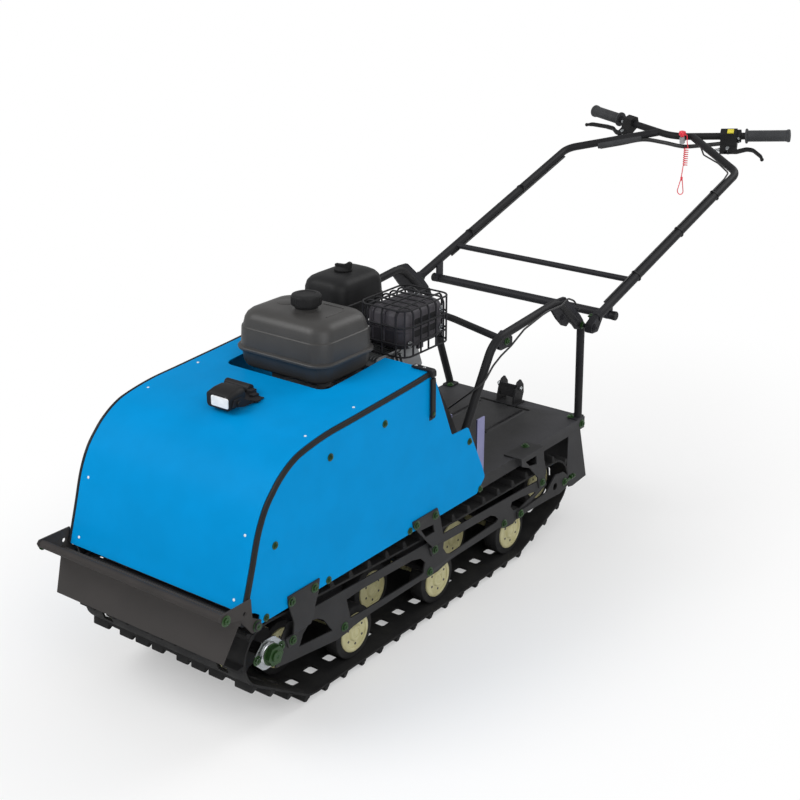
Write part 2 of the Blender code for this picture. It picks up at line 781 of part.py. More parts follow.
def tension_arm(side, finish):
    """Rear arm that holds the rear wheels' axle and tightens the track."""
    x0 = TRACK_HALF_WIDTH + GAP
    x1 = x0 + PLATE
    outline = ((452, 150), (452, 130), (500, 133), (612, 128), (668, 124), (700, 130), (712, 142), (711, 162), (684, 184),
               (640, 190), (616, 172), (596, 154), (500, 149))
    arm = prism("X", outline, x0, x1)
    heads = joined([bolt_head("X", (466, 141), x1), bolt_head("X", (690, 152), x1)])
    spacer = rod("X", (466, 141), 8.5, SIDE_PLATE_X + GAP, x0 + 1, 10)
    hole = rod("X", (IDLER_Y, IDLER_Z), bore_r(WHEEL_AXLE_R, 12), x0 - 10, x1 + 10, 12)
    name = "right" if side > 0 else "left"
    piece(f"tension_arm_{name}", finish["black"], handed(arm, side), [handed(heads, side), handed(spacer, side)],
          [handed(hole, side)])


def chassis(finish):
    """Floor under the hood, rear deck with its skirts, and the front lugs with the hood's pivot shaft."""
    low = DECK_TOP - PLATE
    wide = PANEL_X - PANEL_THICKNESS - GAP
    outline = ((-wide, FLOOR_FRONT_Y), (wide, FLOOR_FRONT_Y), (wide, DECK_STEP_Y), (DECK_HALF_WIDTH, DECK_STEP_Y),
               (DECK_HALF_WIDTH, DECK_REAR_Y), (-DECK_HALF_WIDTH, DECK_REAR_Y), (-DECK_HALF_WIDTH, DECK_STEP_Y),
               (-wide, DECK_STEP_Y))
    floor = prism("Z", outline, low, DECK_TOP)
    skirt = box(DECK_HALF_WIDTH - PLATE, DECK_HALF_WIDTH, SKIRT_FRONT_Y, DECK_REAR_Y, DECK_TOP - SKIRT_DEPTH, DECK_TOP)
    rear = box(-DECK_HALF_WIDTH, DECK_HALF_WIDTH, DECK_REAR_Y - PLATE, DECK_REAR_Y, DECK_TOP - SKIRT_DEPTH, DECK_TOP)
    y, z = HOOD_PIVOT_Y, HOOD_PIVOT_Z
    lug = prism("X", fillet(((y - 16, z + 14), (y - 16, z - 12), (FLOOR_FRONT_Y + 40, low), (FLOOR_FRONT_Y + 40, DECK_TOP),
                             (y + 16, z + 14)), 8, 2, True), 228, 234)
    shaft = rod("X", (y, z), HOOD_PIVOT_R, -BUMPER_EAR_X - 5, BUMPER_EAR_X + 5, 12)
    heads = joined([bolt_head("X", (y, z), BUMPER_EAR_X + 5, 6, 11), mirrored(bolt_head("X", (y, z), BUMPER_EAR_X + 5, 6, 11))])
    rib = prism("Y", ((60, DECK_TOP - 1), (80, DECK_TOP - 1), (76, DECK_TOP + 3), (64, DECK_TOP + 3)), 559, 751)
    slot = slab(-86, -6, 762, 774, DECK_TOP - 20, DECK_TOP + 20, 6, 1)
    piece("chassis", finish["black"], floor, [skirt, mirrored(skirt), rear, both(lug), shaft, heads, both(rib)],
          [slot, mirrored(slot)])


def hood_rings(profile, depth):
    """The profile and its copy moved inwards by a depth."""
    inner = []
    for i, p in enumerate(profile):
        a = Vector(profile[max(i - 1, 0)])
        b = Vector(profile[min(i + 1, len(profile) - 1)])
        way = (b - a).normalized()
        inner.append(Vector(p) + Vector((way[1], -way[0])) * depth)
    return [Vector(p) for p in profile] + list(reversed(inner))


def hood(finish):
    """Tilting hood: one bent sheet with an open notch for the tank and two arms on the pivot shaft."""
    sheet = prism("X", hood_rings(HOOD_PROFILE, SHEET), -HOOD_HALF_WIDTH, HOOD_HALF_WIDTH)
    y, z = HOOD_PIVOT_Y, HOOD_PIVOT_Z
    arm_outline = ((y + 14, z), (y + 9, z - 12), (y - 9, z - 12), (y - 15, z), (-624.5, 341.5), (-620, 355), (-612, 352))
    arm = prism("X", arm_outline, HOOD_ARM_X - 5, HOOD_ARM_X)
    bore = rod("X", (y, z), HOOD_PIVOT_R + GAP, -300, 300, 12)
    left, right, front = NOTCH_LEFT_X, NOTCH_RIGHT_X, NOTCH_FRONT_Y
    corners = ((left, 90), (left, front), (right, front), (right, 90))
    notch = prism("Z", fillet(corners, NOTCH_CORNER_R, 4), 640, 700)
    piece("hood_sheet", finish["blue"], sheet, [both(arm)], [bore, notch], origin=(0, y, z))


def trim(side, finish):
    """Black edge strip between the hood's sheet and the side panel."""
    strip = prism("X", hood_rings(HOOD_PROFILE, TRIM_DEPTH), HOOD_HALF_WIDTH + GAP, TRIM_X)
    y0, y1 = LATCH_Y - LATCH_HALF, LATCH_Y + LATCH_HALF
    (ya, za), (yb, zb) = HOOD_PROFILE[-2:]
    top0, top1 = (za + (y - ya) * (zb - za) / (yb - ya) + GAP for y in (y0, y1))
    plate = prism("X", ((y0, top0), (y1, top1), (y1, top1 + 5), (y0, top0 + 5)), LATCH_PLATE_X, LATCH_PIVOT_X + 4)
    block = prism("X", ((y0, top0 - 8), (y1, top1 - 8), (y1, top1 + 4), (y0, top0 + 4)), TRIM_X - 4, LATCH_PIVOT_X + 4)
    tongue = box(LATCH_PIVOT_X - 3.5, LATCH_PIVOT_X + 3.5, LATCH_Y - 2, LATCH_Y + 2, LATCH_PIVOT_Z - 4, top0 + 2)
    pin = rod("Y", (LATCH_PIVOT_X, LATCH_PIVOT_Z), 2.0, y0 + 1, y1 - 1, 6)
    name = "right" if side > 0 else "left"
    piece(f"hood_trim_{name}", finish["black"], handed(strip, side),
          [handed(s, side) for s in (plate, block, tongue, pin)], origin=(0, HOOD_PIVOT_Y, HOOD_PIVOT_Z))


def side_panel(side, finish):
    """Blue side panel, fixed to the brackets, open at the front where the pivot shaft passes."""
    top = [p for p in hood_rings(HOOD_PROFILE, TRIM_DEPTH + 0.8)[len(HOOD_PROFILE):]]
    y, z = HOOD_PIVOT_Y, HOOD_PIVOT_Z
    outline = top + [Vector(p) for p in ((y + 6, z + 24), (y + 20, z + 14), (y + 20, 293), (244, 293), (265, 329),
                                          (252, 361), (187, 488), (118, 490), (73, 597), (44, 664))]
    plate = prism("X", outline, PANEL_X - PANEL_THICKNESS, PANEL_X)
    keeper = box(PANEL_X - 1, PANEL_X + 1.2, LATCH_Y - 6, LATCH_Y + 6, LATCH_LOW_Z - 14, LATCH_LOW_Z - GAP)
    name = "right" if side > 0 else "left"
    piece(f"side_panel_{name}", finish["blue"], handed(plate, side), [handed(keeper, side)])


def latch(side, finish):
    """Hood latch strap: two legs that hang from a pin at the hood's edge, joined at their hand hook."""
    x, z, y = LATCH_PIVOT_X, LATCH_PIVOT_Z, LATCH_Y
    outline = ((x - 4.5, LATCH_LOW_Z + 12), (x - 4.5, z), (x - 3, z + 3.5), (x + 3, z + 3.5), (x + 4.5, z),
               (x + 4.5, LATCH_LOW_Z + 12), (x + 12, LATCH_LOW_Z + 4), (x + 10, LATCH_LOW_Z), (x - 4.5, LATCH_LOW_Z))
    strap = prism("Y", outline, y - LATCH_HALF, y + LATCH_HALF)
    slit = box(x - 20, x + 30, y - 2 - GAP, y + 2 + GAP, LATCH_LOW_Z + 14, z + 20)
    bore = rod("Y", (x, z), bore_r(2.0, 6), y - 20, y + 20, 6)
    name = "right" if side > 0 else "left"
    piece(f"hood_latch_{name}", finish["black"], handed(strap, side), (), [handed(slit, side), handed(bore, side)],
          origin=(side * x, y, z))


def headlamp(finish):
    """Small square lamp on a bent bracket on top of the hood."""
    seat = 657.5
    base = prism("Z", ((-62, -336), (44, -336), (62, -300), (40, -262), (-96, -262), (-96, -290)), seat + GAP + 1.5, seat + 6)
    cheek = prism("X", ((-392, 668), (-386, 684), (-362, 684), (-330, seat + 6), (-320, seat + 2), (-352, seat + 0.5)),
                  36, 39)
    arms = both(cheek)
    bridge = box(-39, 39, -338, -318, seat + 1.2, seat + 5.5)
    piece("headlamp_bracket", finish["black"], base, [bridge, arms])
    shell = prism("X", fillet(((-396, 657.5), (-396, 691), (-366, 691), (-354, 684), (-354, 673), (-372, 657.5)), 4, 2, True),
                  -36 + GAP, 36 - GAP)
    piece("headlamp_body", finish["black"], shell, origin=(0, -374, 674))
    lens = prism("Y", fillet(((-30, 661), (30, 661), (30, 688), (-30, 688)), 6, 3, True), -400, -396 - GAP)
    piece("headlamp_lens", finish["lens"], lens)


def bumper(finish):
    """Front bar and the two ears that carry it on the ends of the pivot shaft."""
    half = BUMPER_EAR_X + PLATE
    bar = rod("X", (BUMPER_NOSE_Y, BUMPER_NOSE_Z), BUMPER_NOSE_R, -half, half, 10)
    y, z = HOOD_PIVOT_Y, HOOD_PIVOT_Z
    outline = ((-703, 357), (-706, 366), (-700, 373), (-612, 372), (-610, 326), (y + 15, z + 8), (y + 13, z - 12),
               (y - 13, z - 13), (-645, 334))
    ear = prism("X", outline, BUMPER_EAR_X, half)
    bore = rod("X", (y, z), HOOD_PIVOT_R + GAP, -300, 300, 12)
    heads = both(bolt_head("X", (-688, 356), half))
    hole = rod("X", (-632, 346), 5.5, -300, 300, 10)
    piece("bumper", finish["black"], bar, [both(ear), heads, front_plate()], [bore, hole])


def front_plate():
    """Sloping snow guard under the bumper, welded between its ears."""
    (y1, z1), (y0, z0) = FRONT_PLATE_TOP, FRONT_PLATE_LOW
    wide, narrow = FRONT_PLATE_TOP_HALF, FRONT_PLATE_LOW_HALF
    edge = BUMPER_EAR_X + 1
    rings = []
    for dy in (0.0, SHEET):
        rings.append([Vector((-edge, y1 + dy, z1)), Vector((edge, y1 + dy, z1)), Vector((edge, y1 + dy - 5, z1 - 12)),
                      Vector((wide, y1 + dy - 6, z1 - 14)), Vector((narrow, y0 + dy, z0)), Vector((-narrow, y0 + dy, z0)),
                      Vector((-wide, y1 + dy - 6, z1 - 14)), Vector((-edge, y1 + dy - 5, z1 - 12))])
    return skin(rings)


def rear_guard(finish):
    """Snow guard behind the track: a sloping rear sheet with two side wings."""
    x = DECK_HALF_WIDTH - PLATE - GAP
    top = DECK_TOP - PLATE - GAP
    wing = prism("X", ((748, top), (746, 150), (762, 102), (782, 98), (857, 104), (812, 262), (812, top)), x - SHEET, x)
    sheet = prism("X", ((809, top), (812, top), (812, 262), (857, 104), (853, 104), (809, 261)), -x, x)
    piece("rear_guard", finish["black"], sheet, [wing, mirrored(wing)])


def engine(finish):
    """Engine stand, crankcase with its cylinder, and the starter housing."""
    top, half = ENGINE_BASE_Z - GAP, STAND_HALF_WIDTH
    foot = DECK_TOP + GAP
    channel = ((-half - 18, foot), (-half + 4, foot), (-half + 4, top - PLATE), (half - 4, top - PLATE), (half - 4, foot),
               (half + 18, foot), (half + 18, foot + PLATE), (half, foot + PLATE), (half, top), (-half, top),
               (-half, foot + PLATE), (-half - 18, foot + PLATE))
    stand = prism("Y", channel, STAND_FRONT_Y, STAND_REAR_Y)
    shaft_post = box(-STAND_HALF_WIDTH, -STAND_HALF_WIDTH + 8, JACKSHAFT_Y - 26, STAND_FRONT_Y + 5, foot, 460)
    bore = rod("X", (JACKSHAFT_Y, JACKSHAFT_Z), bore_r(JACKSHAFT_R, 12), -300, 300, 12)
    piece("engine_stand", finish["black"], stand, [shaft_post, mirrored(shaft_post)], [bore])
    y, z, w = CRANK_Y, CRANK_Z, BLOCK_HALF_WIDTH
    case = prism("X", fillet(((y - 110, ENGINE_BASE_Z), (y + 110, ENGINE_BASE_Z), (y + 132, 430), (y + 132, 560),
                              (y + 70, 640), (y - 90, 640), (y - 125, 580), (y - 125, 430)), 22, 2, True), -w, w)
    cylinder = prism("X", ((y + 40, 500), (y + 190, 560), (y + 228, 600), (y + 205, 660), (y + 20, 652)), -w + 20, w - 10)
    fins = [prism("X", ((y + 138 + 14 * k, 535 + 5.6 * k), (y + 143 + 14 * k, 537 + 5.6 * k),
                        (y + 105 + 14 * k, 655), (y + 100 + 14 * k, 655)), -w + 12, w - 2) for k in range(3)]
    crank = rod("X", (y, z), 12.0, w - 5, 150, 12)
    exhaust = box(60, 92, y + 140, y + 190, 640, MUFFLER_LOW_Z - CAGE_GAP - GAP - CAGE_WIRE)
    intake = box(CLEANER_X + 12, CLEANER_X + 48, y + 130, y + 170, 640, CLEANER_BASE_Z - GAP)
    seat = box(-80, 60, -130, 10, 630, TANK_BASE_Z - GAP)
    housing = lathe("X", (y, z), ((-w + 5, RECOIL_R), (-w - 30, RECOIL_R), (-w - 46, RECOIL_R - 18), (-w - 52, 30)), 20)
    neck = box(-w - 42, -w - 22, y + 60, y + RECOIL_R + 6, z + 30, z + 62)
    piece("engine_block", finish["engine"], case,
          [cylinder, *fins, crank, exhaust, intake, seat, housing, neck])
    pull = prism("X", ((y + RECOIL_R + 6 + GAP, z + 32), (y + RECOIL_R + 24, z + 18), (y + RECOIL_R + 24, z + 74),
                       (y + RECOIL_R + 6 + GAP, z + 60)), -w - 40, -w - 26)
    piece("recoil_handle", finish["dark"], pull)


def soft_box(x0, x1, y0, y1, levels, steps=2):
    """A box with rounded corners through (height, inset, corner radius) levels."""
    rings = []
    for z, inset, r in levels:
        corners = ((x0 + inset, y0 + inset), (x1 - inset, y0 + inset), (x1 - inset, y1 - inset), (x0 + inset, y1 - inset))
        rings.append([Vector((p[0], p[1], z)) for p in fillet(corners, r, steps, True)])
    return skin(rings)


def tank(finish):
    """Fuel tank with its pressed seam, filler neck and screw cap."""
    levels = ((TANK_BASE_Z, 24, 22), (TANK_BASE_Z + 12, 10, 30), (704, 7, 34), (706, 0, 40), (711, 0, 40), (713, 7, 36),
              (768, 11, 38), (788, 24, 40), (TANK_TOP_Z - 3, 46, 36), (TANK_TOP_Z, 70, 20))
    body = soft_box(TANK_LEFT_X, TANK_RIGHT_X, TANK_FRONT_Y, TANK_REAR_Y, levels)
    neck = rod("Z", (CAP_X, CAP_Y), CAP_R - 9, TANK_TOP_Z - 12, TANK_TOP_Z + 5, 14)
    piece("fuel_tank", finish["plastic"], body, [neck])
    low = TANK_TOP_Z + 5 + GAP
    profile = ((low, CAP_R - 8), (low + 6, CAP_R - 8), (low + 8, CAP_R), (CAP_TOP_Z - 3, CAP_R), (CAP_TOP_Z, CAP_R - 5))
    piece("fuel_cap", finish["plastic"], lathe("Z", (CAP_X, CAP_Y), profile, 14), origin=(CAP_X, CAP_Y, low))


def air_cleaner(finish):
    """Air cleaner: base, domed cover and wing nut."""
    x, y, a, b = CLEANER_X, CLEANER_Y, CLEANER_HALF_X, CLEANER_HALF_Y
    base = soft_box(x - a + 6, x + a - 6, y - b + 6, y + b - 6, ((CLEANER_BASE_Z, 14, 20), (CLEANER_BASE_Z + 12, 0, 30),
                                                               (CLEANER_JOINT_Z - GAP, 0, 30)))
    piece("air_cleaner_base", finish["plastic"], base)
    cover = soft_box(x - a, x + a, y - b, y + b, ((CLEANER_JOINT_Z, 0, 34), (CLEANER_TOP_Z - 24, 3, 34),
                                                  (CLEANER_TOP_Z - 7, 12, 32), (CLEANER_TOP_Z, 30, 24)))
    piece("air_cleaner_cover", finish["plastic"], cover)
    low = CLEANER_TOP_Z + GAP
    nut = prism("Z", ((x - 22, y - 4), (x - 6, y - 9), (x + 6, y - 9), (x + 22, y - 4), (x + 22, y + 4),
                      (x + 6, y + 9), (x - 6, y + 9), (x - 22, y + 4)), low, low + 12)
    piece("air_cleaner_knob", finish["dark"], nut, origin=(x, y, low))


def muffler(finish):
    """Muffler and the wire guard round it."""
    x, y, a, b = MUFFLER_X, MUFFLER_Y, MUFFLER_HALF_X, MUFFLER_HALF_Y
    can = soft_box(x - a, x + a, y - b, y + b, ((MUFFLER_LOW_Z, 14, 22), (MUFFLER_LOW_Z + 12, 0, 30),
                                                (MUFFLER_TOP_Z - 14, 0, 30), (MUFFLER_TOP_Z, 16, 22)))
    pipe = rod("Z", (x - 4, y - 18), 14, MUFFLER_LOW_Z - CAGE_GAP - CAGE_WIRE, MUFFLER_LOW_Z + 4, 12)
    piece("muffler", finish["steel_dark"], can, [pipe])
    g, w = CAGE_GAP, CAGE_WIRE
    low, high = MUFFLER_LOW_Z - g, MUFFLER_TOP_Z + g
    outer = slab(x - a - g - w, x + a + g + w, y - b - g - w, y + b + g + w, low - w, high + w, 30, 1)
    inner = slab(x - a - g, x + a + g, y - b - g, y + b + g, low, high, 25, 1)
    columns, rows, levels = 3, 3, 2
    def bays(start, end, count):
        step = (end - start + w) / count
        return [(start + k * step, start + (k + 1) * step - w) for k in range(count)]
    zs = bays(low + 1, high - 1, levels)
    xs = bays(x - a + 8, x + a - 8, columns)
    ys = bays(y - b + 8, y + b - 8, rows)
    side_holes = joined([box(x - a - 40, x + a + 40, p, q, r, s) for p, q in ys for r, s in zs])
    end_holes = joined([box(p, q, y - b - 40, y + b + 40, r, s) for p, q in xs for r, s in zs])
    top_holes = joined([box(p, q, r, s, low + 40, high + 40) for p, q in xs for r, s in ys])
    base_hole = box(x - a + 18, x + a - 18, y - b + 18, y + b - 18, low - 40, low + 40)
    bosses = joined([box(x + d - 4, x + d + 4, y - 10, y + 10, low - 1, MUFFLER_LOW_Z - GAP) for d in (a - 17, 17 - a)])
    piece("muffler_guard", finish["black"], outer, (), [inner, side_holes, end_holes, top_holes, base_hole])
    join_last("muffler_guard", bosses)


def loop_band(first, r1, second, r2, thickness, low, high, steps=10):
    """A belt or chain round two wheels, as a closed band."""
    to = Vector(second) - Vector(first)
    lean = math.degrees(math.atan2(to[1], to[0]))
    spread = math.degrees(math.acos((r1 - r2) / to.length))
    rings = []
    for extra in (0.0, thickness):
        rings.append(arc(first, r1 + extra, lean + spread, lean + 360 - spread, steps)
                     + arc(second, r2 + extra, lean - spread, lean + spread, steps))
    n = len(rings[0])
    verts = [placed("X", p[0], p[1], s) for s in (low, high) for ring in rings for p in ring]
    faces = []
    for i in range(n):
        j = (i + 1) % n
        faces += [[i, j, n + j, n + i], [2 * n + i, 2 * n + j, 3 * n + j, 3 * n + i],
                  [i, j, 2 * n + j, 2 * n + i], [n + i, n + j, 3 * n + j, 3 * n + i]]
    return verts, faces


def pulley_profile(r, groove):
    """Half profile of a grooved belt pulley, from its inner to its outer side."""
    w = BELT_WIDTH / 2
    return ((PULLEY_X - w - 12, r - 12), (PULLEY_X - w - 2, r), (PULLEY_X - w - GAP, r - 6), (PULLEY_X - w - GAP, groove),
            (PULLEY_X + w + GAP, groove), (PULLEY_X + w + GAP, r - 6), (PULLEY_X + w + 2, r), (PULLEY_X + w + 12, r - 12))


def transmission(finish):
    """Belt drive from the engine to the cross shaft, and the guard over it."""
    engine_at, shaft_at = (CRANK_Y, CRANK_Z), (JACKSHAFT_Y, JACKSHAFT_Z)
    driver = [(150 + GAP, 16)] + list(pulley_profile(DRIVER_PULLEY_R, BELT_DRIVER_R - BELT_SEAT))
    piece("drive_clutch", finish["steel"], lathe("X", engine_at, driver, 12), origin=(0, *engine_at))
    shaft = [(-STAND_HALF_WIDTH - 12, JACKSHAFT_R), (PULLEY_X - BELT_WIDTH / 2 - 12, JACKSHAFT_R)]
    shaft += pulley_profile(DRIVEN_PULLEY_R, BELT_DRIVEN_R - BELT_SEAT)
    piece("cross_shaft", finish["steel"], lathe("X", shaft_at, shaft, 12), origin=(0, *shaft_at))
    w = BELT_WIDTH / 2
    v_belt = loop_band(engine_at, BELT_DRIVER_R, shaft_at, BELT_DRIVEN_R, V_BELT_THICKNESS, PULLEY_X - w, PULLEY_X + w, 12)
    piece("drive_belt", finish["rubber"], v_belt)
    guard_outline = ((-350, 330), (-362, 420), (-330, 490), (-260, 540), (-90, 625), (-40, 638), (100, 638), (128, 604),
                     (180, 518), (218, 446), (236, 384), (230, 330))
    outline = fillet(guard_outline, 24, 1, True)
    shrunk = fillet([centred(p, guard_outline, PLATE) for p in guard_outline], 22, 1, True)
    shell = prism("X", outline, GUARD_IN_X, GUARD_OUT_X)
    hollow = prism("X", shrunk, GUARD_IN_X - 10, GUARD_OUT_X - SHEET)
    foot_low = DECK_TOP + GAP
    feet = joined([box(GUARD_IN_X + 6, GUARD_OUT_X - 18, y, y + 24, foot_low, 334) for y in (-320, 60)])
    piece("belt_guard", finish["black"], shell, [feet], [hollow])


def centred(point, outline, depth):
    """A corner of an outline moved towards its middle by a depth."""
    middle = sum((Vector(p) for p in outline), Vector((0, 0))) / len(outline)
    to = middle - Vector(point)
    return Vector(point) + to.normalized() * depth


def lower_frame(finish):
    """Fixed tube frame of the handle: posts, humped side tubes, bowed cross tube and fold gussets."""
    foot = DECK_TOP + GAP
    front = tube(fillet(((*FRONT_POST_FOOT, foot), (*FRONT_POST_FOOT, foot + 12), FRONT_POST_BEND, HUMP_TOP, HUMP_END), 70, 3), POST_R)
    rear = tube(((*REAR_POST_FOOT, foot), (*REAR_POST_FOOT, foot + 12), REAR_POST_TOP), POST_R)
    x, y, z = FRONT_POST_BEND
    bow_points = ((x, y + 22, z + 2), (85, 385, 676), BOW_MIDDLE, (-85, 385, 676), (-x, y + 22, z + 2))
    bow = tube(fillet(bow_points, 120, 2), POST_R - 2, 6)
    gusset = prism("X", ((574, 686), (604, 652), (634, 626), (652, 619), (668, 628), (690, 612), (706, 596),
                         (738, 590), (742, 612), (722, 634), (640, 704), (600, 706)), 254, 261)
    pin = rod("X", (FOLD_Y, FOLD_Z), FOLD_PIN_R, 256, COLUMN_X + 10, 10)
    head = bolt_head("X", (FOLD_Y, FOLD_Z), COLUMN_X + 9 + GAP, 6, 9)
    plate = prism("X", ((338, 640), (392, 640), (392, 664), (352, 690), (318, 676)), 250, 259)
    flange = slab(FRONT_POST_FOOT[0] - 22, FRONT_POST_FOOT[0] + 22, FRONT_POST_FOOT[1] - 24, FRONT_POST_FOOT[1] + 24,
                  foot, foot + PLATE, 8, 1)
    rear_flange = slab(REAR_POST_FOOT[0] - 22, DECK_HALF_WIDTH, REAR_POST_FOOT[1] - 24, DECK_REAR_Y - 1,
                       foot, foot + PLATE, 6, 1)
    right = [rear, gusset, pin, head, plate, flange, rear_flange]
    adds = [bow, mirrored(front)] + right + [mirrored(s) for s in right]
    piece("lower_frame", finish["black"], front, adds)


def column_slope():
    """Rise of the column's side tubes for each unit of run."""
    return (COLUMN_HIGH[1] - COLUMN_LOW[1]) / (COLUMN_HIGH[0] - COLUMN_LOW[0])


def column_z(y):
    """Height of the column's side tubes' middle line."""
    return COLUMN_LOW[1] + (y - COLUMN_LOW[0]) * column_slope()


def bar_point(x):
    """Point on the handlebar's middle line."""
    return Vector((x, BAR_CENTRE_Y + BAR_SWEEP * abs(x), BAR_CENTRE_Z + BAR_RISE * abs(x)))


def bar_path():
    """The handlebar's middle line with its rounded middle."""
    return fillet((bar_point(-BAR_HALF), bar_point(0), bar_point(BAR_HALF)), 160, 6)


def column(finish):
    """Folding handle: two side tubes that turn in to the handlebar, two crossbars and the fold brackets."""
    x = COLUMN_X
    join = bar_point(BAR_JOIN_X) - Vector((0, 2, 1))
    side = tube(fillet(((x, *COLUMN_LOW), (x, *COLUMN_HIGH), join), COLUMN_BEND_R, 3), COLUMN_R)
    high = rod("X", (CROSSBAR_HIGH_Y, column_z(CROSSBAR_HIGH_Y)), CROSSBAR_HIGH_R, -x, x, 10)
    low_z = column_z(CROSSBAR_LOW_Y) - CROSSBAR_LOW_DROP
    low = rod("X", (CROSSBAR_LOW_Y, low_z), CROSSBAR_LOW_R, -CROSSBAR_LOW_HALF, CROSSBAR_LOW_HALF, 12)
    eye = prism("X", fillet(((FOLD_Y - 16, FOLD_Z + 10), (FOLD_Y - 16, FOLD_Z - 14), (FOLD_Y + 20, FOLD_Z - 16),
                             (COLUMN_LOW[0] + 24, COLUMN_LOW[1] + 2), (COLUMN_LOW[0] + 18, COLUMN_LOW[1] + 20)), 8, 1, True),
                x - 12, x + 8)
    clamp = rod("Z", (x - 14, FOLD_Y + 19), 6.0, FOLD_Z - 14, FOLD_Z + 24, 8)
    near, far = CROSSBAR_LOW_Y - 14, CROSSBAR_LOW_Y + 14
    lug = prism("X", ((near, low_z - 8), (far, low_z - 8), (far, column_z(far)), (near, column_z(near))), x - 16, x - 10)
    bore = rod("X", (FOLD_Y, FOLD_Z), bore_r(FOLD_PIN_R, 10), -320, 320, 10)
    bar = tube(bar_path(), BAR_R + GAP, 12)
    adds = [mirrored(side), high, low, both(eye), both(clamp), both(lug)]
    piece("handle_column", finish["black"], side, adds, [bore, bar], origin=(0, FOLD_Y, FOLD_Z))


def bar_frame(side):
    """Directions at the right or left half of the handlebar: along it outwards, forwards and up."""
    along = (bar_point(side * BAR_HALF) - bar_point(0)).normalized()
    up = Vector((0, 0, 1))
    up = (up - along * up.dot(along)).normalized()
    forward = up.cross(along)
    if forward[1] > 0:
        forward = -forward
    return along, forward, up


def on_bar(side, distance, ahead=0.0, above=0.0):
    """A point given by its distance along the bar from the middle, ahead of it and above it."""
    along, forward, up = bar_frame(side)
    return bar_point(0) + along * distance + forward * ahead + up * above


def on_control(side, distance, ahead=0.0, above=0.0):
    """As on_bar, in the frame of the lever's mount, which is turned down round the bar."""
    t = math.radians(CONTROL_TILT[side])
    return on_bar(side, distance, ahead * math.cos(t) + above * math.sin(t), above * math.cos(t) - ahead * math.sin(t))


def bar_block(side, span, cut, place=on_bar):
    """A housing on the bar: its outline ahead of and above the bar, over a span along it."""
    return skin([[place(side, d, a, b) for a, b in cut] for d in span])


def handlebar(finish):
    """Handlebar with its grips, switch housing, levers and their perches."""
    bar = tube(bar_path(), BAR_R, 12)
    piece("handlebar", finish["black"], bar)
    for side, name in ((1, "right"), (-1, "left")):
        rings = ((GRIP_INNER_X, GRIP_R + 6), (GRIP_INNER_X + 5, GRIP_R + 6), (GRIP_INNER_X + 7, GRIP_R), (344, GRIP_R),
                 (346, GRIP_R + 4), (351, GRIP_R + 4), (GRIP_END_X + 14, GRIP_R - 3))
        along, forward, up = bar_frame(side)
        grip_rings = []
        for d, r in rings:
            circle = [on_bar(side, d + 8, r * math.cos(2 * math.pi * k / 12), r * math.sin(2 * math.pi * k / 12))
                      for k in range(12)]
            grip_rings.append(circle)
        cap_depth = tube((on_bar(side, 200), on_bar(side, (bar_point(BAR_HALF) - bar_point(0)).length + GAP)),
                         BAR_R + GAP, 12)
        piece(f"grip_{name}", finish["grip"], skin(grip_rings), (), [cap_depth])
        perch_cut = ((-17, -14), (-17, 17), (-10, 22), (14, 22), (20, 8), (34, -6), (52, -9), (57, -19), (50, -29),
                     (18, -27), (-4, -18))
        start, end = PERCH_SPAN[side]
        hole = tube((on_bar(side, 100), on_bar(side, 300)), BAR_R + GAP, 12)
        perch = bar_block(side, (start, end), perch_cut, on_control)
        clamp = bar_block(side, (end - 2, end + 12), ((-15, -13), (-15, 14), (14, 14), (15, -13)), on_control)
        pivot_d, pivot_ahead = LEVER_PIVOT[side]
        cleft = bar_block(side, (pivot_d - 12, pivot_d + 100), ((30, -13), (72, -13), (72, -23), (30, -23)), on_control)
        low, high = button_span()
        pocket = bar_block(1, (low - GAP, high + GAP), ((-6.3, 16.8), (10.3, 16.8), (10.3, 28), (-6.3, 28)), on_control)
        piece(f"perch_{name}", finish["dark"], perch, [clamp], [hole, cleft, pocket] if side > 0 else [hole, cleft])
        path = fillet([on_control(side, d, a, -18) for d, a in LEVER_PATH[side]], 24, 1)
        piece(f"lever_{name}", finish["dark"], tube(path, LEVER_R, 6), origin=on_control(side, pivot_d, pivot_ahead, -18))
    button = bar_block(1, button_span(), ((-6, 20.3), (10, 20.3), (10, 26), (-6, 26)), on_control)
    piece("starter_button", finish["yellow"], button)


def button_span():
    """Start and end of the yellow button along the bar, near the outer end of its housing."""
    end = PERCH_SPAN[1][1] - 9
    return end - BUTTON_WIDTH, end


def kill_switch(finish):
    """Pull-cord safety switch ahead of the bar's middle, with its red cap."""
    d, a, top = KILL_D, KILL_AHEAD, KILL_TOP
    body = bar_block(1, (d - 7, d + 7), ((a - 10, top - 21), (a + 10, top - 21), (a + 10, top), (a - 10, top)))
    clamp = bar_block(1, (d - 6, d + 6), ((-14, -14), (a - 9, -14), (a - 9, top - 1), (8, 12), (8, 14), (-14, 14)))
    hole = tube(bar_path(), BAR_R + GAP, 12)
    piece("kill_switch", finish["dark"], body, [clamp], [hole])
    x, y, z = kill_top()
    cap = lathe("Z", (x, y), ((z + 1, 6), (z + 5, 9), (z + 6, 11), (z + 16, 11), (z + 20, 7)), 12)
    piece("kill_cap", finish["red"], cap, origin=(x, y, z))


def kill_top():
    """Seat of the red cap on its switch."""
    return on_bar(1, KILL_D, KILL_AHEAD, KILL_TOP + GAP)


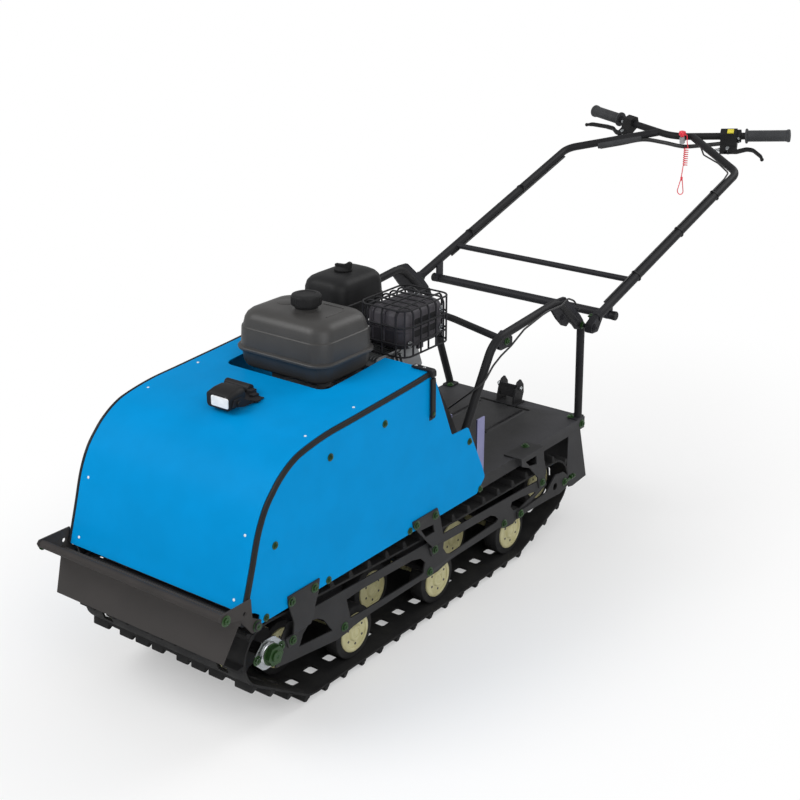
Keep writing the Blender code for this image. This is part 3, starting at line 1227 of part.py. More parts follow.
def lanyard(finish):
    """Safety lanyard: a curly length that hangs beside the red cap and ends in a wrist loop."""
    seat = kill_top()
    r, curls, length = LANYARD_COIL_R, LANYARD_CURLS, LANYARD_COIL_LENGTH
    points = [seat + Vector(v) for v in ((11 + GAP, 0, 8), (15, 0, 8.4), (17.4, 0, 4), (18.6, 0, -14))]
    axis = seat + Vector((17, 0, 0))
    top = seat.z - 33
    steps = 8 * curls + 4
    for k in range(steps + 1):
        t = 2 * math.pi * k / 8
        points.append(Vector((axis.x + r * math.cos(t), axis.y + r * math.sin(t), top - length * k / steps)))
    low = top - length
    knot = low - 42
    hang = axis.x - r - 4
    points += [Vector((axis.x - r - 1, axis.y + 1, low - 8)), Vector((hang, axis.y, knot))]
    half = LANYARD_LOOP_HALF
    centre = Vector((hang, axis.y, knot - 41))
    for k in range(1, 13):
        t = math.radians(150 + 240 * k / 13)
        points.append(centre + Vector((half * math.cos(t), 0.0, half * 1.15 * math.sin(t))))
    points.append(Vector((hang + 3.8, axis.y, knot - 1)))
    least = least_gap(points, LANYARD_CORD_R)
    print(f"lanyard least gap to itself {least:.2f} mm over {len(points)} points")
    cord("lanyard", finish["red"], points, LANYARD_CORD_R)


def least_gap(points, r):
    """Smallest clear distance between stretches of a tube that don't follow each other."""
    best = 1e9
    for i, p in enumerate(points):
        for j in range(i + 5, len(points)):
            best = min(best, (p - points[j]).length - 2 * r)
    return best


def cables(finish):
    """Cables clipped along the handle, split where it folds."""
    x = COLUMN_X
    def along(y, out, above):
        return (x + out, y, column_z(y) + above)
    upper = [on_control(1, 149, 40, -22), on_control(1, 120, 34, -24), on_control(1, 98, 24, -26), on_bar(1, 90, 6, -34)]
    upper += [Vector((150, 1639, 893)), Vector((220, 1598, 883)), Vector((270, 1566, 866))]
    upper += [Vector(along(y, -9, 12.1)) for y in (1500, 1200, 980, 900, 800)]
    piece("cable_upper", finish["cable"], tube(fillet(upper, 30, 1), 2.5, 6))
    lower = [(264.5, 712, 650), (264.5, 680, 684), (266, 645, 700), (271.5, 603, 692), (271.5, 529, 694),
             (271.5, 426, 675), (271.5, 367, 648), (271, 323, 634), (272, 286, 618), (270, 252, 585), (240, 236, 556),
             (150, 262, 480), (90, 240, 470), (90, CRANK_Y + 132 + GAP, 470)]
    piece("cable_lower", finish["cable"], tube(fillet([Vector(p) for p in lower], 40, 1), 2.5, 6))


def hitch(finish):
    """Tow hitch on the deck's rear edge: a foot, two ears with a cross plate, and its drop pin."""
    low = DECK_TOP + GAP
    foot = box(-36, 36, HITCH_Y - 28, HITCH_Y + 26, low, low + PLATE)
    hook = ((-22, 0), (20, 0), (30, 28), (28, 52), (14, 70), (-2, 66), (-14, 46), (-22, 20))
    shape = [(HITCH_Y + a, low + b) for a, b in hook]
    ear = prism("X", shape, 24, 30)
    brace = box(-26, 26, HITCH_Y - 14, HITCH_Y - 9, low + 22, low + 60)
    pin_y, pin_z = HITCH_Y + 8, low + 46
    bore = rod("X", (pin_y, pin_z), HITCH_PIN_R + GAP, -80, 80, 8)
    piece("hitch_body", finish["black"], foot, [both(ear), brace], [bore])
    pin = lathe("X", (pin_y, pin_z), ((-46, 4), (-40, 9), (-30 - GAP, 9), (-30 - GAP, HITCH_PIN_R), (34, HITCH_PIN_R),
                                      (36, 4)), 8)
    piece("hitch_pin", finish["steel"], pin, origin=(0, pin_y, pin_z))


def main():
    """Clears the scene and builds every part."""
    for old in list(bpy.data.objects):
        bpy.data.objects.remove(old, do_unlink=True)
    finish = {
        "blue": material("blue_paint", (0.0, 0.28, 0.64), 0.35),
        "black": material("black_paint", (0.03, 0.03, 0.03), 0.55),
        "rubber": material("track_rubber", (0.02, 0.02, 0.02), 0.8),
        "cream": material("cream_nylon", (0.48, 0.46, 0.26), 0.5),
        "steel": material("zinc_steel", (0.6, 0.6, 0.6), 0.35, 1.0),
        "steel_dark": material("dark_steel", (0.1, 0.1, 0.1), 0.45, 1.0),
        "engine": material("cast_aluminium", (0.3, 0.3, 0.3), 0.5, 0.8),
        "plastic": material("tank_plastic", (0.05, 0.05, 0.05), 0.5),
        "dark": material("black_plastic", (0.02, 0.02, 0.02), 0.5),
        "grip": material("grip_rubber", (0.04, 0.04, 0.04), 0.8),
        "yellow": material("yellow_button", (0.8, 0.7, 0.05), 0.4),
        "red": material("red_plastic", (0.85, 0.05, 0.06), 0.4),
        "cable": material("cable_sheath", (0.02, 0.02, 0.02), 0.5),
        "lens": material("lamp_lens", (0.9, 0.9, 0.9), 0.2),
    }
    running_gear(finish)
    chassis(finish)
    for side in (1, -1):
        bearing(side, finish)
        side_plate(side, finish)
        tension_arm(side, finish)
        side_panel(side, finish)
        trim(side, finish)
        latch(side, finish)
    hood(finish)
    headlamp(finish)
    bumper(finish)
    rear_guard(finish)
    engine(finish)
    tank(finish)
    air_cleaner(finish)
    muffler(finish)
    transmission(finish)
    lower_frame(finish)
    column(finish)
    handlebar(finish)
    kill_switch(finish)
    lanyard(finish)
    cables(finish)
    hitch(finish)


if __name__ == "__main__":
    main()
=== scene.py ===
"""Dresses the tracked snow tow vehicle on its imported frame, and sets its camera, lights and floor.

Sizes are in millimetres and become metres when a mesh is made. X runs across the machine, -Y is its front and
+Z is up.
"""
import json
import logging
import math
from dataclasses import dataclass
from enum import Enum
from functools import cached_property
from typing import Iterable, Sequence

import bmesh
import bpy
from bpy.types import Material, Mesh, Node, NodeSocket, NodeTree, Object
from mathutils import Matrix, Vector


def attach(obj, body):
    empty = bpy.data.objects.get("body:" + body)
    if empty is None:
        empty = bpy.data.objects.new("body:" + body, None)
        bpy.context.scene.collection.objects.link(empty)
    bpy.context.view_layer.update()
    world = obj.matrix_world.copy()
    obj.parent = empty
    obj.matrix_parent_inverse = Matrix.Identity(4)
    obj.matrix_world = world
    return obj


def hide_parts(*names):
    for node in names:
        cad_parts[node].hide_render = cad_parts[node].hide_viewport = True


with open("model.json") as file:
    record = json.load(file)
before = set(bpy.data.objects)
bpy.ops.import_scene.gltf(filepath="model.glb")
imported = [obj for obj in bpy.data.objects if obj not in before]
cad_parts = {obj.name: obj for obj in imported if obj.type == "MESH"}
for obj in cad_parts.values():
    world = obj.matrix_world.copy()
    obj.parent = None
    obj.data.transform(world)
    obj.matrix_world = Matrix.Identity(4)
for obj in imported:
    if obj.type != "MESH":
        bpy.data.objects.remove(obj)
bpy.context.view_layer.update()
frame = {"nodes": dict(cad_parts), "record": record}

LOG = logging.getLogger("snow_tow_vehicle")
MM = 0.001
DECK_TOP = 299.3
FOOT_TOP = 303.3
SIDES = ((1, "right"), (-1, "left"))
Shape = tuple[list[Vector], list[list[int]]]
Point = Sequence[float]
Spot = tuple[Point, Point]


class Grain(Enum):
    """How a surface was made, which sets its fine relief."""

    POWDER = "orange peel of baked powder"
    PAINT = "flat sprayed paint"
    MOULDED = "fine moulding texture"
    CAST = "sand cast skin"
    BRUSHED = "drawn or rolled lines"
    RUBBER = "matt moulded rubber"


class Axis(Enum):
    """An axis of the machine, with its number in a point."""

    X = 0
    Y = 1
    Z = 2


def linear(code: str) -> tuple[float, float, float, float]:
    """Turns an sRGB hex colour into linear red, green, blue and alpha.

    Args:
        code: six hex digits.

    Returns:
        The linear colour with alpha one.
    """
    parts = [int(code[i:i + 2], 16) / 255 for i in (0, 2, 4)]
    red, green, blue = (c / 12.92 if c <= 0.04045 else ((c + 0.055) / 1.055) ** 2.4 for c in parts)
    return red, green, blue, 1.0


def add_node(tree: NodeTree, kind: str, settings: dict | None = None, inputs: dict | None = None) -> Node:
    """Adds a node with its settings, values and links.

    Args:
        tree: the tree that gets the node.
        kind: the node's type name.
        settings: properties to set.
        inputs: values or output sockets, by input name or number.

    Returns:
        The new node.
    """
    made = tree.nodes.new(kind)
    for key, value in (settings or {}).items():
        setattr(made, key, value)
    for key, value in (inputs or {}).items():
        if isinstance(value, NodeSocket):
            tree.links.new(value, made.inputs[key])
        else:
            made.inputs[key].default_value = value
    return made


def ramp(tree: NodeTree, value: NodeSocket, start: float, end: float, low: float = 0.0, high: float = 1.0,
         kind: str = "LINEAR") -> NodeSocket:
    """Maps the values between start and end onto those between low and high."""
    inputs = {"Value": value, "From Min": start, "From Max": end, "To Min": low, "To Max": high}
    return add_node(tree, "ShaderNodeMapRange", {"interpolation_type": kind}, inputs).outputs["Result"]


def blend(tree: NodeTree, share: NodeSocket, first: NodeSocket | tuple, second: tuple) -> NodeSocket:
    """Mixes two colours by a share."""
    inputs = {"Factor": share, 6: first, 7: second}
    return add_node(tree, "ShaderNodeMix", {"data_type": "RGBA"}, inputs).outputs[2]


def mixed(tree: NodeTree, share: NodeSocket, first: Node, second: Node) -> Node:
    """Mixes two shaders by a share."""
    inputs = {"Fac": share, 1: first.outputs[0], 2: second.outputs[0]}
    return add_node(tree, "ShaderNodeMixShader", None, inputs)


def white(tree: NodeTree, kind: str, strength: float) -> Node:
    """Adds a white light of one strength, as a background or as an emission."""
    return add_node(tree, kind, None, {"Color": linear("FFFFFF"), "Strength": strength})


@dataclass(frozen=True)
class Finish:
    """One real surface: its material, colours, gloss and the size of its grain."""

    name: str
    colour: str
    shade: str
    roughness: float
    grain: Grain
    metallic: float = 0.0
    grain_mm: float = 1.2
    relief_mm: float = 0.03
    patch_mm: float = 90.0
    spread: float = 0.06
    coat: float = 0.0
    worn: str = ""
    shine: float = 0.5

    def material(self) -> Material:
        """Builds the material once and gives it each time.

        Returns:
            The node material.
        """
        known = bpy.data.materials.get(self.name)
        if known:
            return known
        made = bpy.data.materials.new(self.name)
        made.use_nodes = True
        tree = made.node_tree
        shader = tree.nodes["Principled BSDF"]
        shader.inputs["Metallic"].default_value = self.metallic
        shader.inputs["Specular IOR Level"].default_value = self.shine
        shader.inputs["Coat Weight"].default_value = self.coat
        shader.inputs["Coat Roughness"].default_value = 0.08
        place = add_node(tree, "ShaderNodeTexCoord").outputs["Object"]
        stretch = (1.0, 0.06, 1.0) if self.grain is Grain.BRUSHED else (1.0, 1.0, 1.0)
        spot = add_node(tree, "ShaderNodeMapping", None, {"Vector": place, "Scale": stretch}).outputs[0]
        patches = add_node(tree, "ShaderNodeTexNoise", None,
                           {"Vector": place, "Scale": 1000 / self.patch_mm, "Detail": 3.0}).outputs["Fac"]
        fine = add_node(tree, "ShaderNodeTexNoise", None,
                        {"Vector": spot, "Scale": 1000 / self.grain_mm, "Detail": 2.0}).outputs["Fac"]
        relief = fine
        if self.grain in (Grain.CAST, Grain.MOULDED):
            relief = add_node(tree, "ShaderNodeTexVoronoi", {"feature": "SMOOTH_F1"},
                              {"Vector": spot, "Scale": 1000 / self.grain_mm}).outputs["Distance"]
        colour = blend(tree, ramp(tree, patches, 0.35, 0.65), linear(self.colour), linear(self.shade))
        if self.worn:
            shape = add_node(tree, "ShaderNodeNewGeometry").outputs["Pointiness"]
            colour = blend(tree, ramp(tree, shape, 0.54, 0.64, 0.0, 0.55), colour, linear(self.worn))
        tree.links.new(colour, shader.inputs["Base Color"])
        gloss = ramp(tree, fine, 0.3, 0.7, self.roughness - self.spread, self.roughness + self.spread)
        tree.links.new(gloss, shader.inputs["Roughness"])
        bump = add_node(tree, "ShaderNodeBump", None,
                        {"Height": relief, "Distance": self.relief_mm * MM, "Strength": 1.0})
        tree.links.new(bump.outputs["Normal"], shader.inputs["Normal"])
        return made


# Sprayed enamel on folded sheet: smooth and only softly glossy, with a faint waviness.
BLUE_PAINT = Finish("blue_enamel_paint", "008CCE", "0088C8", 0.5, Grain.PAINT, grain_mm=2.0, relief_mm=0.006,
                    spread=0.04, shine=0.03)
# Baked powder on steel: satin black with a fine orange peel and slightly paler edges.
BLACK_COAT = Finish("black_powder_coated_steel", "242425", "1D1D1F", 0.5, Grain.POWDER, grain_mm=1.5,
                    relief_mm=0.03, worn="34343A", shine=0.14)
# The same powder on flat cut plates, which reads a little greyer.
PLATE_COAT = Finish("charcoal_powder_coated_plate", "333334", "2C2C2D", 0.55, Grain.POWDER, grain_mm=1.5,
                    relief_mm=0.03, worn="46464A", shine=0.16)
# Thicker powder on the front guard and bar: warm charcoal, softly lit.
GUARD_COAT = Finish("warm_charcoal_powder_coat", "3B3837", "343231", 0.68, Grain.POWDER, grain_mm=1.5,
                    relief_mm=0.03, worn="444241", shine=0.08)
# Moulded black rubber: matt, with a dusty bloom.
TRACK_RUBBER = Finish("moulded_track_rubber", "1F1F20", "282828", 0.72, Grain.RUBBER, grain_mm=2.5,
                      relief_mm=0.08, patch_mm=40, shine=0.16)
# Natural polyamide: cream, waxy and slightly mottled.
NYLON = Finish("moulded_cream_polyamide", "BDB88E", "B0AA7E", 0.45, Grain.MOULDED, grain_mm=1.2,
               relief_mm=0.02, patch_mm=30)
# Zinc plated pressed steel: bright grey with drawn lines.
ZINC = Finish("zinc_plated_steel", "C4C7C9", "A9ADB0", 0.3, Grain.BRUSHED, metallic=1.0, grain_mm=0.8,
              relief_mm=0.01)
# Passivated steel screws and nuts: dark green and smooth, with a faint sheen.
GREEN_BOLT = Finish("green_passivated_bolt", "24461B", "1D3A17", 0.38, Grain.MOULDED, metallic=0.25,
                    grain_mm=0.7, relief_mm=0.01)
# Rolled sheet of the muffler, darkened by heat: dull brown grey with faint drawn lines.
HOT_STEEL = Finish("heat_dark_sheet_steel", "454248", "3A383D", 0.55, Grain.BRUSHED, metallic=0.2,
                   relief_mm=0.02)
# Sand cast aluminium: pale grey with a rough skin.
CAST_ALLOY = Finish("sand_cast_aluminium", "8E9092", "77797B", 0.5, Grain.CAST, metallic=0.85, grain_mm=1.0,
                    relief_mm=0.06, patch_mm=50)
# Enamel baked on the pressed fuel tank: dark grey and smooth, of low gloss.
TANK_ENAMEL = Finish("dark_grey_tank_enamel", "3E3D3C", "393837", 0.42, Grain.PAINT, grain_mm=1.6,
                     relief_mm=0.012, shine=0.35)
# Injection moulded plastic: black, with the fine etching of its mould. It also serves as painted shade on the
# drive axle's flat faces and middle.
BLACK_PLASTIC_AND_SHADE = Finish("moulded_black_plastic_and_painted_shade", "202021", "1B1B1C", 0.5, Grain.MOULDED, grain_mm=0.8,
                       relief_mm=0.02, patch_mm=45, shine=0.16)
# Injection moulded plastic of the small switch: mid grey and fine grained.
GREY_PLASTIC = Finish("moulded_grey_plastic", "9A9C9E", "8C8E90", 0.45, Grain.MOULDED, grain_mm=0.6,
                      relief_mm=0.01, patch_mm=20)
# Soft moulded rubber of the grips: dark grey and matt, dusty where hands hold it.
GRIP_RUBBER = Finish("soft_grip_rubber", "414244", "393A3C", 0.68, Grain.RUBBER, grain_mm=0.9,
                     relief_mm=0.015, patch_mm=25, shine=0.2)
# Moulded plastic of the pulled cap and the skin of its cord: bright red with a soft gloss.
RED_PLASTIC = Finish("moulded_red_plastic", "EE3A4A", "DE2F40", 0.35, Grain.MOULDED, grain_mm=0.6,
                     relief_mm=0.01, patch_mm=12)
# Moulded plastic of the starter button: clean yellow with a soft gloss.
YELLOW_PLASTIC = Finish("moulded_yellow_plastic", "E5D84A", "D6C83C", 0.35, Grain.MOULDED, grain_mm=0.6,
                        relief_mm=0.01, patch_mm=12)
# Pressed lens, frosted behind its smooth face: white, with a clear gloss on top.
LENS = Finish("frosted_white_lens", "F2F4F5", "E6E9EA", 0.16, Grain.PAINT, grain_mm=3.0, relief_mm=0.05,
              patch_mm=15, spread=0.03, coat=0.6)
# Moulded nylon rivets: white with a soft gloss.
WHITE_RIVET = Finish("white_nylon_rivet", "E9ECEE", "DDE1E3", 0.35, Grain.MOULDED, grain_mm=0.6,
                     relief_mm=0.01)
# Extruded sheath of cables and wires: black, smooth and satin.
CABLE_SHEATH = Finish("extruded_cable_sheath", "1A1A1B", "202021", 0.5, Grain.RUBBER, grain_mm=0.8,
                      relief_mm=0.02)
# Anodised sheet brackets: pale lilac with drawn lines.
LILAC_STEEL = Finish("anodised_lilac_bracket", "8F8FB4", "8080A6", 0.35, Grain.BRUSHED, metallic=0.8,
                     grain_mm=1.0, relief_mm=0.01)


def polygon(n: int, radius: float, shift: float = 0.0) -> list[tuple[float, float]]:
    """Points of a regular polygon about the origin, turned on by a share of one side."""
    turns = [2 * math.pi * (i + shift) / n for i in range(n)]
    return [(radius * math.cos(t), radius * math.sin(t)) for t in turns]


def corners(x0: float, x1: float, y0: float, y1: float, inset: float = 0.0) -> tuple[Point, ...]:
    """The four corners of a rectangle that is drawn in by an inset."""
    x0, x1, y0, y1 = x0 + inset, x1 - inset, y0 + inset, y1 - inset
    return (x0, y0), (x1, y0), (x1, y1), (x0, y1)


def rounded(points: Iterable[Point], radius: float, steps: int = 6, closed: bool = False) -> list[Vector]:
    """Rounds the corners of a path or outline.

    Args:
        points: the corners.
        radius: radius of each arc, made smaller where there is no room.
        steps: pieces of each arc.
        closed: whether the last point joins the first.

    Returns:
        The rounded path.
    """
    pts = [Vector(p) for p in points]
    out: list[Vector] = []
    for i, here in enumerate(pts):
        if not closed and i in (0, len(pts) - 1):
            out.append(here)
            continue
        a, b = pts[i - 1] - here, pts[(i + 1) % len(pts)] - here
        angle = a.angle(b)
        if angle > math.radians(178):
            out.append(here)
            continue
        reach = min(radius / math.tan(angle / 2), 0.48 * a.length, 0.48 * b.length)
        start, end = here + a.normalized() * reach, here + b.normalized() * reach
        centre = here + (a.normalized() + b.normalized()).normalized() * (reach / math.cos(angle / 2))
        r = (start - centre).length
        for k in range(steps + 1):
            out.append(centre + (start.lerp(end, k / steps) - centre).normalized() * r)
    return out


def smoothed(points: Sequence[Point], steps: int = 5) -> list[Vector]:
    """A smooth curve through points.

    Args:
        points: the points that it passes.
        steps: its pieces between two of them.

    Returns:
        The curve's points.
    """
    pts = [Vector(p) for p in points]
    ends = [pts[0] * 2 - pts[1]] + pts + [pts[-1] * 2 - pts[-2]]
    out: list[Vector] = []
    for i in range(1, len(ends) - 2):
        a, b, c, d = ends[i - 1:i + 3]
        for k in range(steps):
            t = k / steps
            out.append(0.5 * (2 * b + (c - a) * t + (2 * a - 5 * b + 4 * c - d) * t * t
                              + (3 * b - a - 3 * c + d) * t * t * t))
    return out + [pts[-1]]


def with_normals(line: Sequence[Vector]) -> list[tuple[Vector, Vector]]:
    """Pairs each point of a flat line with the unit direction to its right."""
    ways = [(line[min(i + 1, len(line) - 1)] - line[max(i - 1, 0)]).normalized() for i in range(len(line))]
    return [(p, Vector((way[1], -way[0]))) for p, way in zip(line, ways)]


def placed(axis: Axis, a: float, b: float, along: float) -> Vector:
    """A point from two coordinates across an axis and one along it."""
    return Vector(((along, a, b), (a, along, b), (a, b, along))[axis.value])


def skin(rings: Sequence[Sequence[Vector]], closed: bool = False) -> Shape:
    """A body through rings of equal counts.

    Args:
        rings: the rings in order.
        closed: joins the last ring to the first in place of two end caps.

    Returns:
        Points and faces.
    """
    n = len(rings[0])
    verts = [Vector(v) for ring in rings for v in ring]
    faces = [] if closed else [list(range(n)), list(range(len(verts) - n, len(verts)))]
    for k in range(len(rings) if closed else len(rings) - 1):
        low, high = k * n, ((k + 1) % len(rings)) * n
        faces += [[low + i, low + (i + 1) % n, high + (i + 1) % n, high + i] for i in range(n)]
    return verts, faces


def plate(axis: Axis, outline: Iterable[Point], low: float, high: float) -> Shape:
    """A flat plate: an outline pushed along an axis."""
    flat = [(p[0], p[1]) for p in outline]
    return skin([[placed(axis, a, b, along) for a, b in flat] for along in (low, high)])


def block(x0: float, x1: float, y0: float, y1: float, z0: float, z1: float) -> Shape:
    """A block between six planes."""
    return plate(Axis.Z, corners(x0, x1, y0, y1), z0, z1)


def turned(axis: Axis, centre: Point, profile: Iterable[Point], steps: int = 48) -> Shape:
    """A turned body from (place along the axis, radius) pairs."""
    return skin([[placed(axis, centre[0] + a, centre[1] + b, along) for a, b in polygon(steps, r)]
                 for along, r in profile])


def pipe(points: Sequence[Point], radius: float, sides: int = 20, closed: bool = False) -> Shape:
    """A round bar along a path.

    Args:
        points: the middle line.
        radius: the bar's radius.
        sides: facets round it.
        closed: whether the path is a loop.

    Returns:
        Points and faces.
    """
    pts = [Vector(p) for p in points]
    rings, side = [], None
    for i, here in enumerate(pts):
        a = pts[i - 1] if closed or i else here
        b = pts[(i + 1) % len(pts)] if closed or i < len(pts) - 1 else here
        way = (b - a).normalized()
        if side is None:
            guess = Vector((0, 0, 1)) if abs(way.z) < 0.9 else Vector((1, 0, 0))
            side = way.cross(guess)
        side = (side - way * side.dot(way)).normalized()
        up = way.cross(side)
        rings.append([here + side * a + up * b for a, b in polygon(sides, radius)])
    return skin(rings, closed)


def soft_loft(box: Sequence[float], levels: Iterable[Point], steps: int = 8) -> Shape:
    """A box with rounded upright corners.

    Args:
        box: its two planes across the machine and its two planes along it.
        levels: (height, inset, corner radius) of each ring.
        steps: pieces of each corner's arc.

    Returns:
        Points and faces.
    """
    return skin([[Vector((p[0], p[1], z)) for p in rounded(corners(*box, inset), r, steps, True)]
                 for z, inset, r in levels])


def joined(*shapes: Shape) -> Shape:
    """Several shapes in one.

    Args:
        shapes: the shapes.

    Returns:
        All points and faces.
    """
    verts: list[Vector] = []
    faces: list[list[int]] = []
    for v, f in shapes:
        faces += [[i + len(verts) for i in face] for face in f]
        verts += v
    return verts, faces


def handed(shape: Shape, side: int) -> Shape:
    """The shape itself, or its mirror image where side is -1."""
    return [Vector((v[0] * side, v[1], v[2])) for v in shape[0]], shape[1]


def both(shape: Shape) -> Shape:
    """A shape and its mirror image."""
    return joined(shape, handed(shape, -1))


def body_of(node: str) -> str:
    """Names the body that holds a node."""
    return next(b for b, nodes in frame["record"]["behaviour"]["bodies"].items() if node in nodes)


class Workshop:
    """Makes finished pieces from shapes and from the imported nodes."""

    def mesh(self, name: str, shape: Shape) -> Mesh:
        """Makes a mesh in metres whose faces point outwards.

        Args:
            name: the mesh's name.
            shape: points in millimetres, and faces.

        Returns:
            The mesh.
        """
        mesh = bpy.data.meshes.new(name)
        mesh.from_pydata([v * MM for v in shape[0]], [], shape[1])
        bm = bmesh.new()
        bm.from_mesh(mesh)
        bmesh.ops.recalc_face_normals(bm, faces=bm.faces)
        bm.to_mesh(mesh)
        bm.free()
        return mesh

    def baked(self, made: Object, *helpers: Object) -> Mesh:
        """Applies an object's modifiers, then removes it and its helpers.

        Args:
            made: the object with the modifiers.
            helpers: the objects that they use.

        Returns:
            The plain mesh.
        """
        for extra in (*helpers, made):
            bpy.context.collection.objects.link(extra)
        graph = bpy.context.evaluated_depsgraph_get()
        mesh = bpy.data.meshes.new_from_object(made.evaluated_get(graph), depsgraph=graph)
        for extra in (*helpers, made):
            bpy.data.objects.remove(extra)
        return mesh

    def finish(self, made: Object, finish: Finish, body: str, stands_for: Iterable[str], bevel: float,
               smooth: float) -> Object:
        """Gives a piece its material, edges, shading and body.

        Args:
            made: the new object.
            finish: its surface.
            body: the body that it rides on.
            stands_for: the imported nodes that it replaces.
            bevel: width of its softened edges in millimetres, or 0.
            smooth: largest angle that is shaded smooth, in degrees.

        Returns:
            The same object.
        """
        bpy.context.collection.objects.link(made)
        made.data.materials.clear()
        made.data.materials.append(finish.material())
        made.data.shade_smooth()
        made.data.set_sharp_from_angle(angle=math.radians(smooth))
        if bevel:
            soft = made.modifiers.new("soft_edges", "BEVEL")
            soft.width = bevel * MM
            soft.segments = 2
            soft.limit_method = "ANGLE"
            soft.angle_limit = math.radians(smooth)
            soft.harden_normals = True
        if stands_for:
            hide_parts(*stands_for)
        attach(made, body)
        LOG.info("piece %s: %s", made.name, finish.name)
        return made

    def piece(self, name: str, shape: Shape, finish: Finish, body: str = "base",
              stands_for: Iterable[str] = (), bevel: float = 0.0, smooth: float = 35.0) -> Object:
        made = bpy.data.objects.new(name, self.mesh(name, shape))
        return self.finish(made, finish, body, stands_for, bevel, smooth)

    def stand_in(self, node: str, shape: Shape, finish: Finish, bevel: float = 0.0,
                 smooth: float = 35.0) -> Object:
        return self.piece(f"{node}_dressed", shape, finish, body_of(node), (node,), bevel, smooth)

    def dressed(self, node: str, finish: Finish, bevel: float = 0.8) -> Object:
        """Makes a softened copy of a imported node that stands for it.

        Args:
            node: the node's name.
            finish: its surface.
            bevel: width of its softened edges in millimetres.

        Returns:
            The new object.
        """
        bm = bmesh.new()
        bm.from_mesh(frame["nodes"][node].data)
        bmesh.ops.remove_doubles(bm, verts=bm.verts, dist=2e-6)
        bmesh.ops.dissolve_limit(bm, angle_limit=math.radians(1), verts=bm.verts, edges=bm.edges)
        mesh = bpy.data.meshes.new(f"{node}_dressed")
        bm.to_mesh(mesh)
        bm.free()
        made = bpy.data.objects.new(f"{node}_dressed", mesh)
        return self.finish(made, finish, body_of(node), (node,), bevel, 30.0)


class Copies:
    """Places copies of one shape on many spots with a node tree."""

    def __init__(self) -> None:
        """Builds the tree: points in, copies turned by each point's own angle out."""
        tree = bpy.data.node_groups.new("copies_on_points", "GeometryNodeTree")
        self.inputs: dict[str, str] = {}
        for label, kind in (("Points", "NodeSocketGeometry"), ("Shape", "NodeSocketObject"),
                            ("Finish", "NodeSocketMaterial")):
            socket = tree.interface.new_socket(name=label, in_out="INPUT", socket_type=kind)
            self.inputs[label] = socket.identifier
        tree.interface.new_socket(name="Geometry", in_out="OUTPUT", socket_type="NodeSocketGeometry")
        start = add_node(tree, "NodeGroupInput")
        turn = add_node(tree, "GeometryNodeInputNamedAttribute", {"data_type": "FLOAT_VECTOR"},
                        {"Name": "turn"})
        spin = add_node(tree, "FunctionNodeEulerToRotation", None, {"Euler": turn.outputs["Attribute"]})
        shape = add_node(tree, "GeometryNodeObjectInfo", None, {"Object": start.outputs["Shape"]})
        spread = add_node(tree, "GeometryNodeInstanceOnPoints", None,
                          {"Points": start.outputs["Points"], "Instance": shape.outputs["Geometry"],
                           "Rotation": spin.outputs["Rotation"]})
        whole = add_node(tree, "GeometryNodeRealizeInstances", None, {"Geometry": spread.outputs[0]})
        coated = add_node(tree, "GeometryNodeSetMaterial", None,
                          {"Geometry": whole.outputs[0], "Material": start.outputs["Finish"]})
        add_node(tree, "NodeGroupOutput", None, {"Geometry": coated.outputs[0]})
        self.tree = tree

    def place(self, name: str, shape: Shape, spots: Sequence[Spot], finish: Finish, body: str = "base",
              smooth: float = 35.0) -> Object:
        """Puts a copy of the shape on each spot.

        Args:
            name: the piece's name.
            shape: one copy, about the origin, in millimetres.
            spots: pairs of a place in millimetres and Euler angles in radians.
            finish: the copies' surface.
            body: the body that they ride on.
            smooth: largest angle that is shaded smooth, in degrees.

        Returns:
            One plain mesh object with all copies.
        """
        pattern = bpy.data.objects.new(f"{name}_pattern", SHOP.mesh(f"{name}_pattern", shape))
        points = bpy.data.meshes.new(f"{name}_points")
        points.from_pydata([Vector(p) * MM for p, _ in spots], [], [])
        turns = points.attributes.new("turn", "FLOAT_VECTOR", "POINT")
        turns.data.foreach_set("vector", [c for _, t in spots for c in t])
        carrier = bpy.data.objects.new(f"{name}_points", points)
        modifier = carrier.modifiers.new("copies", "NODES")
        modifier.node_group = self.tree
        modifier[self.inputs["Shape"]] = pattern
        modifier[self.inputs["Finish"]] = finish.material()
        mesh = SHOP.baked(carrier, pattern)
        mesh.name = name
        return SHOP.finish(bpy.data.objects.new(name, mesh), finish, body, (), 0.0, smooth)


SHOP = Workshop()
COPIES = Copies()


def screw(head: float = 8.0, height: float = 6.4, washer: float = 11.5) -> Shape:
    """A hexagon screw head on a washer, looking along +Z from the origin.

    Args:
        head: distance from its middle to a corner.
        height: how far the head stands out.
        washer: the washer's radius.

    Returns:
        Points and faces.
    """
    hexagon = [Vector((x, y, 0)) for x, y in polygon(6, head)]
    rings = [[v * k + Vector((0, 0, z)) for v in hexagon]
             for k, z in ((1.0, 1.2), (1.0, height - 1.2), (0.86, height))]
    ring = turned(Axis.Z, (0, 0), ((0, washer), (1.3, washer), (1.6, washer - 0.6)), 20)
    stud = turned(Axis.Z, (0, 0), ((height - 1, 3.4), (height + 1.4, 3.4), (height + 1.9, 2.6)), 10)
    return joined(skin(rings), ring, stud)


def facing(side: int) -> tuple[float, float, float]:
    """Euler angles that turn +Z outwards to the right or left."""
    return (0.0, math.pi / 2 * side, 0.0)


def outward(side: int, x: float, places: Iterable[Point]) -> list[Spot]:
    """Spots at (along, height) places that look outwards on one side."""
    return [((side * x, y, z), facing(side)) for y, z in places]


def upward(*places: Point) -> list[Spot]:
    """Spots that look up."""
    return [(p, (0.0, 0.0, 0.0)) for p in places]


